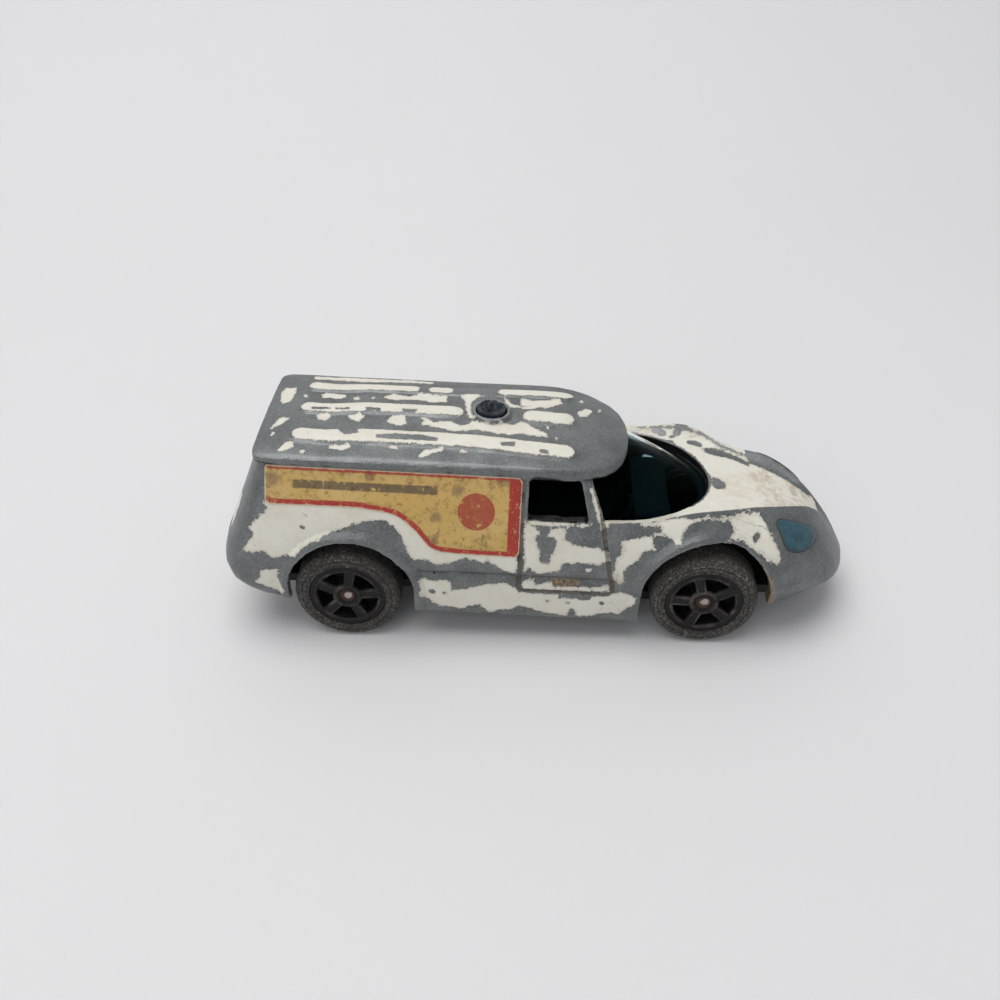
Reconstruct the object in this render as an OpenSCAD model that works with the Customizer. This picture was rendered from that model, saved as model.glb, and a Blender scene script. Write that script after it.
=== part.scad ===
// Small die-cast toy ambulance: a cast body on a base plate, with free wheels on steel axles.
// Millimetres. +X is the nose, +Y is the toy's left side, +Z is up, and the tyres stand on Z = 0.
// The body, and all that is fixed to it, sits nose-down on the wheels by the angle rake.

/* [Running gear] */
// Distance between the two axles
wheelbase = 39.8; // [38:0.1:42]
// Outer diameter of a tyre
tyre_d = 12; // [11.4:0.1:12.6]
// Width of a tyre
tyre_w = 4.2; // [3.6:0.1:4.5]
// How far the wheels' outer faces lie inside the side crease
wheel_inset = 0.1; // [0:0.05:0.3]
// Height of a tyre from its rim to its tread
tyre_h = 1.65; // [1.4:0.05:1.9]
// Thickness of the rim outside the spoke windows
rim_wall = 0.9; // [0.7:0.05:1.2]
// Depth of a spoke window
window_depth = 2.2; // [1.2:0.1:2.8]
// Diameter of the hub
hub_d = 3.1; // [2.7:0.1:3.5]
// Number of spokes in a wheel
spoke_count = 5; // [4:1:7]
// Turn of the front wheels as they stand, in degrees
front_turn = 31; // [0:1:72]
// Turn of the rear wheels as they stand, in degrees
rear_turn = 8; // [0:1:72]
// Width of a spoke
spoke_w = 1.0; // [0.7:0.05:1.3]
// Diameter of an axle
axle_d = 1.1; // [0.9:0.05:1.3]
// Diameter of the peened head on an axle's end
head_d = 1.7; // [1.5:0.05:2]
// Thickness of that head
head_t = 0.45; // [0.3:0.05:0.6]

/* [Body] */
// Nose-down angle of the body on its wheels, in degrees
rake = 2.6; // [1.8:0.1:3.2]
// From mid-wheelbase to the tip of the nose
nose_x = 36.8; // [35.5:0.1:38]
// From mid-wheelbase back to the tail
tail_x = 34.8; // [33.6:0.1:36]
// Width of the body at its side crease
body_w = 23; // [22.6:0.1:23.6]
// Height of the side crease
crease_z = 10.8; // [10.2:0.1:11.2]
// Height of the lower edge of the sill
sill_z = 3.6; // [3.2:0.1:4]
// Thickness of the cast wall
wall_t = 1.2; // [0.9:0.05:1.4]
// How far the rear wing swells out over its wheel
wing_swell = 0.4; // [0.1:0.05:0.6]
// Room between a tyre and the edge of its arch
arch_gap = 1.05; // [0.9:0.05:1.4]
// How far the arch centres sit above the wheel centres
arch_rise = 0.9; // [0.6:0.1:1.2]
// Width of the rolled lip round an arch
arch_lip_w = 0.9; // [0.5:0.1:1.2]
// How far the lips stand proud of the side
lip_proud = 0.18; // [0.1:0.02:0.3]
// Diameter of the posts that the rivets hold
post_d = 3.4; // [3:0.1:4]
// From mid-wheelbase back to the rear post
rear_post_x = 26.6; // [26.2:0.1:27]
// From mid-wheelbase to the front post
front_post_x = 28.6; // [28.2:0.1:29.4]

/* [Roof] */
// How far the roof's edges lie inside the side crease
roof_inset = 2.7; // [2.4:0.1:3]
// Height of the roof's side edge
roof_z = 22.0; // [21.4:0.1:22.6]
// Rise of the roof's crown above its edge
roof_crown = 1.5; // [1:0.1:2]
// Thickness of the lip round the roof
roof_lip_t = 1.1; // [0.9:0.05:1.4]
// From mid-wheelbase back to the rear edge of the roof
roof_tail_x = 29.9; // [29.4:0.1:30.4]
// From mid-wheelbase to the front of the visor
visor_x = 10.3; // [9.6:0.1:11]
// Length of the rounded front end of the roof
visor_l = 9.6; // [8.5:0.1:11]
// How far the visor droops
visor_droop = 1.7; // [1.2:0.1:2.2]
// Width of a raised roof rib
rib_w = 2.0; // [1.6:0.1:2.4]
// Height of a roof rib
rib_h = 0.28; // [0.2:0.02:0.4]
// From the middle rib to an outer rib
rib_pitch = 4.95; // [4.4:0.1:5.4]
// From mid-wheelbase back to the rear ends of the ribs
rib_tail_x = 26.2; // [25:0.1:27]
// From mid-wheelbase to the front ends of the ribs
rib_nose_x = 4.3; // [3.6:0.1:5]
// From mid-wheelbase back to the roof lamp
lamp_x = 4.95; // [4.4:0.05:5.4]
// Diameter of the ring boss round the roof lamp
lamp_boss_d = 4.4; // [4:0.1:4.8]
// Height of that boss above the crown
lamp_boss_h = 0.5; // [0.3:0.05:0.8]
// Diameter of the lamp stub
lamp_d = 3.2; // [2.8:0.1:3.4]
// Height of the stub above its boss
lamp_h = 0.3; // [0.2:0.05:0.6]
// How deep the stub sits in the roof
lamp_seat = 1.0; // [0.7:0.1:1.2]

/* [Cab] */
// From mid-wheelbase back to the rear line of the door
door_x = 1.0; // [0.6:0.1:1.4]
// Width of the door along its lower line
door_w = 10.6; // [10:0.1:11]
// Height of the door's lower line
door_z = 7.5; // [7.2:0.1:8]
// Width and depth of the engraved door line
door_line = 0.3; // [0.2:0.02:0.4]
// Width of the side window along its lower edge
side_window_w = 6.6; // [6:0.1:7]
// Height of the side window's lower edge
side_window_z = 16.2; // [16:0.1:16.6]
// Height of the side window
side_window_h = 4.5; // [4:0.1:4.7]
// Length of the door handle
handle_l = 2.8; // [2.4:0.1:3.2]
// Height of the door handle
handle_h = 0.6; // [0.4:0.05:0.8]
// From mid-wheelbase to the foot of the windscreen pillar
pillar_x = 8.6; // [8.3:0.1:9]
// Height of the windscreen opening's lower edge
cowl_z = 15.8; // [15.4:0.1:16.2]
// Length of the windscreen opening in front of its pillars
screen_l = 11.4; // [11:0.1:12]
// How far the windscreen's pillars lie inside the side crease
screen_inset = 2.7; // [2.5:0.1:3]
// From mid-wheelbase back to the rear edges of the side panes
glass_tail_x = 4; // [3.4:0.1:4.4]
// Thickness of the glazing
glass_t = 0.8; // [0.6:0.05:1]
// Length of a headlamp lens
lens_l = 5; // [4.6:0.1:5.4]
// Thickness of a headlamp lens
lens_t = 0.8; // [0.6:0.05:1]

/* [Base and cab floor] */
// Thickness of the base plate
base_t = 1.2; // [0.9:0.05:1.5]
// How far the base plate shows below the sill
base_drop = 0.6; // [0.3:0.05:0.8]
// Width of the axle bearing blocks, front to back
bearing_l = 3.4; // [2.8:0.1:4]
// Diameter of a rivet's shank
rivet_d = 1.6; // [1.3:0.05:1.8]
// Diameter of a rivet's head
rivet_head_d = 3.0; // [2.6:0.1:3.4]
// Height of the cab floor
floor_z = 8.8; // [8.5:0.1:9.2]
// Thickness of the cab floor and its bulkhead
floor_t = 1.0; // [0.8:0.05:1.2]
// Gap between the two seats
seat_gap = 2; // [1.6:0.1:2.6]
// Height of a seat back above the floor
seat_back_h = 6.2; // [5.4:0.1:7]
// Diameter of the steering wheel
steering_d = 4.4; // [3.8:0.1:4.8]

/* [Label] */
// Thickness of a side label
label_t = 0.08; // [0.06:0.01:0.12]
// From mid-wheelbase back to the label's rear edge
label_tail_x = 28.5; // [27.8:0.1:28.8]
// From mid-wheelbase back to the label's front edge
label_nose_x = 1.5; // [1.3:0.05:2]
// Height of the label's upper edge
label_top_z = 20.7; // [20.3:0.1:20.8]
// Height of the label's lower edge over the wheel
label_wing_z = 16.4; // [16:0.1:16.8]
// Height of the label's lower edge by the door
label_low_z = 11.7; // [11.4:0.1:12]

/* [Fits] */
// Clearance all round a running axle
axle_gap = 0.05; // [0.02:0.01:0.08]
// Clearance between pieces that are fixed together
fit_gap = 0.1; // [0.05:0.01:0.15]

/* [Hidden] */
$fn = 64;

// Frame: the origin is on the ground below the middle of the whole length
wheel_r = tyre_d / 2;
track_w = body_w - 2 * wheel_inset;
rim_d = tyre_d - 2 * tyre_h;
window_ring_d = rim_d - 2 * rim_wall;
arch_r = wheel_r + arch_gap;
nose_tip_z = 6.9;
tail_tip_z = 8.5;
front_end = nose_x * cos(rake) + nose_tip_z * sin(rake);
rear_end = -tail_x * cos(rake) + tail_tip_z * sin(rake);
mid_x = (front_end + rear_end) / 2;
// Axle centres in the body's own tilted frame
front_axle_b = [wheelbase / 2 * cos(rake) - wheel_r * sin(rake),
                wheelbase / 2 * sin(rake) + wheel_r * cos(rake)];
rear_axle_b = [-wheelbase / 2 * cos(rake) - wheel_r * sin(rake),
               -wheelbase / 2 * sin(rake) + wheel_r * cos(rake)];
half_w = body_w / 2;
roof_half = half_w - roof_inset;
screen_half = half_w - screen_inset;
front_x = 8;
front_l = nose_x - front_x;
wheel_in = track_w / 2 - tyre_w;
base_z = sill_z - base_drop;
base_top = base_z + base_t;
reach = tail_x + 5;
// Rounding of the tail's corners in plan, and of the roof's rear corners
tail_round_l = 4.2;
tail_power = 3.2;
roof_corner = 1.3;
// How many times thicker the casting is under the bonnet, which the windscreen's ledge needs
bonnet_wall = 1.9;
// Lean of the windscreen pillar, in mm a millimetre of height
pillar_lean = 0.42;
// Headlamp: distance behind the nose, share of half the body's width, height above the crease
headlamp_back = 8;
headlamp_out = 0.574;
headlamp_rise = 2.4;
// Radius of a lens's domed face, and how far the dome rises above the lamp's frame
lens_r = 9;
lens_crown = 0.35;
// Rounding of the side window's corners
window_round = 0.4;
// Ledge round the windscreen opening, which the glazing stands on
screen_ledge = 0.8;
// Foot and top edge of the glazing, and the shares of its width and of its bow that are left at the roof
glass_z0 = cowl_z - screen_ledge + fit_gap;
glass_z1 = roof_z - 1.7;
glass_top_w = 0.76;
glass_top_bow = 0.14;
// Rivets and the air between the wheels and the bearing blocks
rivet_l = 4;
nose_base_z = 5.0;
base_tail_x = tail_x - 5.2;
// Posts: place along X, height of the base plate's upper face there, length
post_places = [[-rear_post_x, base_top, roof_z - base_top], [front_post_x, nose_base_z + base_t, 8]];
post_draft = 0.5;
rivet_head_t = 0.5;
rivet_sink = 0.1;
wheel_side_gap = 0.5;
// Wheel details: inset of the rim in its tyre, depth of the hub's recess, rounding of the tyre
rim_inset = 0.25;
hub_recess = 0.75;
tyre_round = 0.9;
// Air between a label, or a tyre, and what it sits on
glue_gap = 0.01;
// Cab floor, bulkhead, seats and dash
cab_tail_x = -8.5;
cab_floor_l = 20;
cab_half = half_w * 0.73;
bulkhead_half = half_w * 0.61;
bulkhead_h = 11;
seat_y = half_w * 0.365;
seat_w = 2 * seat_y - seat_gap;
seat_l = 6;
seat_h = 3;
dash_l = 4;
dash_half = half_w * 0.52;
dash_h = 5.6;
steering_col_d = 0.8;
steering_col_l = 3;

// Lines of the bonnet and wings, as [share of the way from the pillar to the nose, sizes in mm]
// Crest of the front wing: distance from the middle as a share of half the body's width, height
wing_line = [[0, 0.87, 16.5], [0.14, 0.835, 16.5], [0.24, 0.8, 17.1], [0.33, 0.765, 17.6],
             [0.42, 0.678, 17.3], [0.49, 0.565, 16.6], [0.56, 0.487, 16.3], [0.66, 0.426, 16.1],
             [0.75, 0.304, 15.3], [0.83, 0.157, 14.0], [0.9, 0.096, 11.9], [0.96, 0.07, 9.5],
             [1, 0.043, 7.5]];
// Height of the bonnet along its middle
bonnet_line = [[0, 15.8], [0.42, 15.8], [0.56, 15.5], [0.66, 15.2], [0.75, 14.5], [0.83, 13.4],
               [0.9, 11.6], [0.96, 9.3], [1, 7.6]];
// Height of the lower edge above the sill, and of the crease below its own height
nose_rise_line = [[0, 0, 0], [0.25, 0.4, 0.2], [0.6, 2.9, 0.9], [0.8, 2.7, 1.8], [0.93, 2.7, 2.9],
                  [1, 2.9, 3.8]];
// Lean of the tail: height, distance in front of its rearmost point
tail_line = [[3.4, 3.6], [4.2, 2.2], [6, 0.6], [8.5, 0], [12, 1.2], [16, 2.8], [21.5, 4.8], [24, 5.6]];

// Curves
function mix(a, b, t) = a + (b - a) * t;
function clamp(t) = max(0, min(1, t));
function ease(t) = clamp(t) * clamp(t) * (3 - 2 * clamp(t));
function span(x, pts, i = 0) = i >= len(pts) - 2 || x < pts[i + 1][0] ? i : span(x, pts, i + 1);
function hermite(b, c, mb, mc, t) =
    b * (1 + 2 * t) * (1 - t) * (1 - t) + mb * t * (1 - t) * (1 - t)
    + c * t * t * (3 - 2 * t) + mc * t * t * (t - 1);
// Value of column col of a line at x
function line_at(x, pts, col = 1) =
    let (i = span(x, pts), a = pts[max(i - 1, 0)], b = pts[i], c = pts[i + 1],
         e = pts[min(i + 2, len(pts) - 1)], h = c[0] - b[0])
    hermite(b[col], c[col], (c[col] - a[col]) / (c[0] - a[0]) * h, (e[col] - b[col]) / (e[0] - b[0]) * h,
            clamp((x - b[0]) / h));
// Smooth run through a few points, with n steps between each two
function smooth_run(pts, n) =
    let (last = len(pts) - 1)
    concat([for (i = [0 : last - 1]) for (k = [0 : n - 1])
        hermite(pts[i], pts[i + 1], (pts[i + 1] - pts[max(i - 1, 0)]) / (i == 0 ? 1 : 2),
                (pts[min(i + 2, last)] - pts[i]) / (i + 1 == last ? 1 : 2), k / n)], [pts[last]]);

// Closed solid through rows of points. Each row holds one side from the bottom up to the
// middle, and then the other side down again, so that ends are closed in level strips.
module loft(rows) {
    n = len(rows[0]);
    m = len(rows);
    half = (n - 1) / 2;
    last = (m - 1) * n;
    sides = [for (i = [0 : m - 2]) for (k = [0 : n - 1]) let (a = i * n + k, b = i * n + (k + 1) % n)
        each [[a, b + n, b], [a, a + n, b + n]]];
    first_end = [for (j = [0 : half - 1]) each j == half - 1
        ? [[j, j + 1, n - 1 - j]]
        : [[j, n - 2 - j, n - 1 - j], [j, j + 1, n - 2 - j]]];
    last_end = [for (f = first_end) [last + f[0], last + f[2], last + f[1]]];
    polyhedron([for (r = rows) each r], concat(sides, first_end, last_end));
}
// Full row from half a section of [x, y, z] points that ends on the middle
function full_row(h) = concat(h, [for (i = [len(h) - 2 : -1 : 0]) [h[i][0], -h[i][1], h[i][2]]]);

// Half section of the front end at share f of its length, pulled in by d and open below by drop
function front_w(f) = sqrt(max(0.012, 1 - pow(clamp((f - 0.45) / 0.55), 2.4)));
function front_section(f, d, n, drop) =
    let (yb = half_w * front_w(f) - d, yr = max(half_w * line_at(f, wing_line) - d, 0.2),
         top = d > 0 ? bonnet_wall * d : d,
         zb = sill_z + line_at(f, nose_rise_line) - drop,
         zr = max(line_at(f, wing_line, 2) - top, zb + 0.5),
         zc = max(line_at(f, bonnet_line) - top, zb + 0.6),
         zk = min(crease_z - line_at(f, nose_rise_line, 2), mix(zb, zr, 0.7)),
         zt = max(zk - 1, mix(zb, zk, 0.7)), free = ease(f * 4), tuck = 0.3 * (1 - free),
         under = 0.25 + 2.2 * ease((f - 0.55) * 2.5) * front_w(f),
         mid = mix(yb, yr, mix(0.43, 0.22, free)) + 0.2 * free * front_w(f),
         high = mix(yb, yr, mix(0.81, 0.66, free)),
         outer = smooth_run([[yb - under, zb], [yb - under * 0.35, mix(zb, zk, 0.5)], [yb - tuck, zt],
                             [yb, zk], [mid, mix(zk, zr, 0.5)], [high, mix(zk, zr, 0.85)], [yr, zr]], n),
         yv = yr * 0.87, zv = mix(zr, zc, 0.72))
    concat(outer, [[yv, zv], [yv * 0.66, mix(zv, zc, 0.56)], [yv * 0.33, mix(zv, zc, 0.89)], [0, zc]]);
function front_row(f, d, n, x, pull = 0) =
    full_row([for (p = front_section(f, d + pull, n, d - pull * 0.05)) [x, p[0], p[1]]]);
// The first two rows lie inside the van, so that the two solids overlap
function front_rows(d, n, step) = concat(
    [front_row(0, d, n, front_x - 0.4, pull = 1), front_row(0, d, n, front_x, pull = 0.04)],
    [for (i = [step : step : 15]) front_row(i * 0.05, d, n, front_x + i * 0.05 * (front_l - d))],
    [for (a = [11.25 * step : 11.25 * step : 90]) let (f = 0.75 + 0.25 * sin(a))
        front_row(f, d, n, front_x + f * (front_l - d))]);
module front_end_solid(d = 0, n = 2, step = 1) loft(front_rows(d, n, step));

// Roof surface: a crown that flattens towards the tail, and a visor that droops
function roof_drop(x) = visor_droop * pow(clamp((x - visor_x + visor_l) / visor_l), 2);
function crown_at(x) = roof_crown * mix(0.25, 1, ease((x + roof_tail_x) / 12));
function roof_top(x, y) = roof_z + crown_at(x) * (1 - pow(y / roof_half, 2)) - roof_drop(x);

// Half section of the van body at x, pulled in by d, with its width scaled by w
function swell(x, z) = wing_swell * exp(-pow((x - rear_axle_b[0]) / 6.5, 2)) * exp(-pow((z - 12) / 3.6, 2));
function van_side(x) =
    let (tail = ease((-x / tail_x - 0.69) * 5), tuck = 0.3 * ease((x / tail_x + 0.4) * 8.7),
         top = roof_z - roof_lip_t * 0.7 - roof_drop(x), shoulder = mix(crease_z, roof_z, 0.536))
    [[half_w - 0.25 - 1.1 * tail, sill_z + 0.3 * tail], [half_w - 0.18, mix(sill_z, crease_z, 0.417)],
     [half_w - tuck, crease_z - 1], [half_w, crease_z],
     [mix(half_w, roof_half, 0.185), mix(crease_z, roof_z, 0.205)], [mix(half_w, roof_half, 0.574), shoulder],
     [roof_half + 0.2, mix(shoulder, top, 0.6)], [roof_half - 0.35, top]];
function van_section(x, d, n, w) =
    let (side = smooth_run(van_side(x), n), top_y = roof_half - 0.35 - d)
    concat([[(side[0][0] - d) * w, side[0][1] - d]],
           [for (i = [1 : len(side) - 1]) let (p = side[i])
               [(p[0] - d + swell(x, p[1])) * w, p[1] - (p[1] > crease_z ? d * 0.7 : 0)]],
           [for (k = [0.75, 0.5, 0.25, 0])
               [top_y * k * w, roof_top(x, roof_half * mix(k, 1, 0.3)) - 0.4 - d]]);
// The tail leans forward as it rises, and so does the pillar, backwards
function van_point(x, p, open_front) =
    let (lean = ease((-x - 18) / (tail_x - 18)), pillar = open_front ? 0 : ease((x - 2) / (front_x - 2)))
    [x + lean * line_at(p[1], tail_line) - pillar_lean * max(0, p[1] - cowl_z) * pillar, p[0], p[1]];
function tail_round(t) = tail_round_l * (1 - pow(1 - pow(t, tail_power), 1 / tail_power));
function van_row(x, d, n, w) = full_row([for (p = van_section(x, d, n, w)) van_point(x, p, d > 0)]);
function van_rows(d, n, step, front) =
    let (back = d - tail_x, start = back + tail_round(0.999))
    concat([for (t = [0.15, 0.45, 0.7, 0.85, 0.94, 0.985]) van_row(back + tail_round(t), d, n, t)],
           [for (i = [0 : step : 10]) van_row(mix(start, front, i / 10), d, n, 1)]);
module van_solid(d = 0, n = 2, step = 1, front = front_x) loft(van_rows(d, n, step, front));

// Roof slab with a rounded lip
function roof_row(x, w, lift) =
    let (e = roof_top(x, w) + lift, r = min(1, w))
    full_row(concat([[x, w - 0.6 * r, e - roof_lip_t], [x, w - 0.15 * r, e - roof_lip_t * 0.9],
                     [x, w, e - roof_lip_t * 0.5], [x, w - 0.1 * r, e - 0.2]],
                    [for (k = [0.94, 0.8, 0.6, 0.4, 0.2, 0]) [x, w * k, roof_top(x, w * k) + lift]]));
module roof_solid(lift = 0) {
    straight_x = visor_x - visor_l;
    tail = [for (a = [0 : 22.5 : 67.5])
        [-roof_tail_x + roof_corner * (1 - cos(a)), roof_half - roof_corner * (1 - sin(a))]];
    middle = [for (i = [0 : 6]) [mix(-roof_tail_x + roof_corner, straight_x, i / 6), roof_half]];
    front = [for (a = [11.25 : 11.25 : 78.75])
        [straight_x + visor_l * sin(a), roof_half * pow(cos(a), 0.85)]];
    tip = [[visor_x, roof_half * 0.1]];
    loft([for (r = concat(tail, middle, front, tip)) roof_row(r[0], r[1], lift)]);
}

// Places
module on_ground() translate([-mid_x, 0, 0]) children();
module on_body() on_ground() rotate([0, rake, 0]) children();
// An upright outline in X and Z, as a slab from y0 to y1 on the left side
module side_slab(y0, y1) translate([0, y1, 0]) rotate([90, 0, 0]) linear_extrude(y1 - y0) children();
module both_sides() {
    children();
    mirror([0, 1, 0]) children();
}
// The skin between two depths below the van's outer surface, negative depths standing proud
module van_skin(from, to) difference() {
    van_solid(to);
    van_solid(from);
}

// Outlines seen from the side
module door_outline(grow) offset(r = grow)
    polygon([[-door_x, door_z], [-door_x + door_w, door_z], [-door_x + door_w - 1.6, 14.6],
             [-door_x + 7.6, roof_z], [-door_x, roof_z]]);
module side_window_outline() offset(r = window_round) offset(r = -window_round)
    polygon([[0, 0], [side_window_w, 0], [side_window_w - 1.2, side_window_h], [0, side_window_h]]
            + [for (i = [0 : 3]) [-door_x + 0.6, side_window_z]]);
module arch_outline(grow) {
    for (a = [front_axle_b, rear_axle_b]) translate([a[0] + (a[0] < 0 ? 0.5 : 0), a[1] + arch_rise]) {
        circle(r = arch_r + grow, $fn = 36);
        translate([-arch_r - grow, -reach]) square([2 * (arch_r + grow), reach]);
    }
}
module label_outline() {
    bend = [mix(-label_tail_x, -label_nose_x, 0.393), mix(label_wing_z, label_top_z, 0.09)];
    low = [mix(-label_tail_x, -label_nose_x, 0.681), label_low_z];
    steps = [for (t = [0.1 : 0.1 : 0.9]) [mix(bend[0], low[0], t), mix(bend[1], low[1], ease(t))]];
    polygon(concat([[-label_tail_x, label_top_z], [-label_tail_x + 0.1, label_wing_z], bend], steps,
                   [low, [-label_nose_x, label_low_z], [-label_nose_x, label_top_z]]));
}
// Windscreen opening seen from above: straight by the pillars, then half an ellipse
function screen_points(grow) = concat(
    [for (x = [-glass_tail_x, glass_tail_x]) [x, screen_half + grow]],
    [for (a = [90 : -10 : -90]) [pillar_x + (screen_l + grow) * cos(a), (screen_half + grow) * sin(a)]],
    [for (x = [glass_tail_x, -glass_tail_x]) [x, -screen_half - grow]]);

// Roof lamp: height h above the roof's crown
module at_roof_lamp(h) translate([-lamp_x, 0, roof_z + roof_crown + h]) children();
// Headlamp: a frame on the wing's slope with Z along the lamp's axis, and its teardrop outline
module at_lamp() translate([nose_x - headlamp_back, half_w * headlamp_out, crease_z + headlamp_rise])
    rotate([0, 0, 42]) rotate([0, 38, 0]) children();
module lamp_outline(grow) hull() {
    translate([-0.42, 0.19] * lens_l) circle(r = 0.06 * lens_l + grow, $fn = 24);
    translate([0.21, -0.49] * lens_l) circle(r = 0.11 * lens_l + grow, $fn = 24);
    translate([0.14, 0.06] * lens_l) circle(r = 0.2 * lens_l + grow, $fn = 24);
}

// Cast body
module body_shell() color("gainsboro") on_body() {
    difference() {
        union() {
            difference() {
                union() {
                    van_solid();
                    front_end_solid();
                    both_sides() arch_lips();
                    both_sides() door_handle();
                }
                screen_cut();
            }
            roof_solid();
            roof_ribs();
            at_roof_lamp(-roof_crown) cylinder(d = lamp_boss_d, h = roof_crown + lamp_boss_h, $fn = 40);
        }
        van_solid(d = wall_t, n = 1, step = 2, front = front_x + 0.5);
        front_end_solid(d = wall_t, n = 1, step = 3);
        both_sides() side_slab(wheel_in - 1, reach) arch_outline(0);
        both_sides() side_slab(0, reach) side_window_outline();
        both_sides() door_lines();
        both_sides() at_lamp() linear_extrude(reach, center = true) lamp_outline(fit_gap);
        at_roof_lamp(-lamp_seat) cylinder(d = lamp_d + 2 * fit_gap, h = reach, $fn = 40);
    }
    posts();
}
module arch_lips() intersection() {
    side_slab(wheel_in, reach) difference() {
        arch_outline(arch_lip_w);
        arch_outline(-1);
    }
    union() {
        van_solid(d = -lip_proud);
        front_end_solid(d = -lip_proud);
    }
}
module door_handle() intersection() {
    side_slab(wheel_in, reach) translate([-door_x + 3.8, door_z + 1]) square([handle_l, handle_h]);
    van_solid(d = -lip_proud);
}
module door_lines() difference() {
    side_slab(wheel_in, reach) difference() {
        door_outline(door_line / 2);
        door_outline(-door_line / 2);
    }
    van_solid(d = door_line);
    front_end_solid(d = door_line);
    translate([-reach / 2, 0, roof_z - roof_lip_t - fit_gap]) cube(reach);
}
module screen_cut() {
    translate([0, 0, cowl_z - screen_ledge]) linear_extrude(reach) screen_outline(0);
    translate([0, 0, sill_z]) linear_extrude(reach) screen_outline(-screen_ledge);
}
module screen_outline(grow) intersection() {
    polygon(screen_points(grow));
    translate([front_x - 0.05, -reach]) square([reach, 2 * reach]);
}
module roof_ribs() intersection() {
    translate([0, 0, roof_z - roof_lip_t]) linear_extrude(reach) {
        for (y = [-rib_pitch, rib_pitch]) rib_outline(-rib_tail_x, rib_nose_x, y);
        rib_outline(-rib_tail_x, -lamp_x - lamp_boss_d / 2 - 1, 0);
        rib_outline(-lamp_x + lamp_boss_d / 2 + 1.4, rib_nose_x, 0);
    }
    roof_solid(lift = rib_h);
}
module rib_outline(x0, x1, y) hull()
    for (x = [x0 + rib_w / 2, x1 - rib_w / 2]) translate([x, y]) circle(d = rib_w, $fn = 16);
module posts() for (p = post_places) translate([p[0], 0, p[1]])
    difference() {
        hull() {
            cylinder(d = post_d, h = 1, $fn = 20);
            translate([0, 0, p[2] - 1]) cylinder(d = post_d + post_draft, h = 1, $fn = 20);
        }
        translate([0, 0, -1]) cylinder(d = rivet_d + 2 * fit_gap, h = rivet_l + 1.5, $fn = 20);
    }

// Base plate with its axle bearings
module base_plate() color("dimgray") on_body() difference() {
    union() {
        translate([0, 0, base_z]) linear_extrude(base_t) base_outline();
        translate([front_axle_b[0], wheel_side_gap - wheel_in, nose_base_z])
            cube([front_post_x + 2 - front_axle_b[0], 2 * (wheel_in - wheel_side_gap), base_t]);
        bearing(front_axle_b);
        bearing(rear_axle_b);
    }
    for (a = [front_axle_b, rear_axle_b])
        translate([a[0], 0, a[1]]) rotate([90, 0, 0])
            cylinder(d = axle_d + 2 * axle_gap, h = body_w, center = true);
    for (p = post_places) translate([p[0], 0, p[1] - base_t - 1]) {
        cylinder(d = rivet_d + 2 * fit_gap, h = base_t + 2);
        cylinder(d = rivet_head_d + 2 * fit_gap, h = 1 + rivet_sink + rivet_head_t);
    }
}
module base_outline() {
    waist = wheel_in - wheel_side_gap;
    wide = half_w - 0.25 - wall_t - fit_gap;
    mid0 = rear_axle_b[0] + arch_r + 1;
    mid1 = front_axle_b[0] - arch_r - 0.6;
    translate([mid0, -wide]) square([mid1 - mid0, 2 * wide]);
    translate([-base_tail_x, -waist]) square([base_tail_x + front_axle_b[0], 2 * waist]);
}
module bearing(a) translate([a[0] - bearing_l / 2, wheel_side_gap - wheel_in, base_z])
    cube([bearing_l, 2 * (wheel_in - wheel_side_gap), a[1] - base_z + axle_d / 2 + 1]);

// Two rivets that hold the base plate on the posts
module base_rivets() color("silver") on_body()
    for (p = post_places) translate([p[0], 0, p[1] - base_t + rivet_sink]) {
        cylinder(d = rivet_head_d, h = rivet_head_t);
        cylinder(d = rivet_d, h = base_t - rivet_sink + rivet_l);
    }

// Seats, floor, bulkhead and dash in one moulding
module cab_interior() color("black") on_body() difference() {
    union() {
        translate([cab_tail_x, -cab_half, floor_z]) cube([cab_floor_l, 2 * cab_half, floor_t]);
        translate([cab_tail_x, -bulkhead_half, floor_z]) cube([floor_t, 2 * bulkhead_half, bulkhead_h]);
        for (x = [cab_tail_x + 1, cab_tail_x + cab_floor_l - 3], y = [-cab_half + 1, cab_half - 3])
            translate([x, y, base_top]) cube([2, 2, floor_z - base_top]);
        for (y = [-seat_y, seat_y]) seat(y);
        translate([cab_tail_x + cab_floor_l, -dash_half, floor_z]) cube([dash_l, 2 * dash_half, dash_h]);
    }
    at_steering() translate([0, 0, -steering_col_l]) cylinder(d = steering_col_d + 2 * fit_gap, h = reach);
}
module seat(y) translate([cab_tail_x + 3, y - seat_w / 2, floor_z]) {
    cube([seat_l, seat_w, seat_h]);
    rotate([0, -8, 0]) cube([1.6, seat_w, seat_back_h]);
}
module at_steering() translate([cab_tail_x + cab_floor_l - 1.4, -seat_y, floor_z + dash_h - 0.6])
    rotate([0, -62, 0]) children();
module steering_wheel() color("dimgray") on_body() at_steering() {
    rotate_extrude() translate([steering_d / 2 - 0.3, 0]) circle(r = 0.3, $fn = 24);
    for (a = [0 : 120 : 359])
        rotate([0, 0, a]) translate([0, -0.25, -0.2]) cube([steering_d / 2 - 0.3, 0.5, 0.4]);
    translate([0, 0, -steering_col_l]) cylinder(d = steering_col_d, h = steering_col_l);
}

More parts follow.
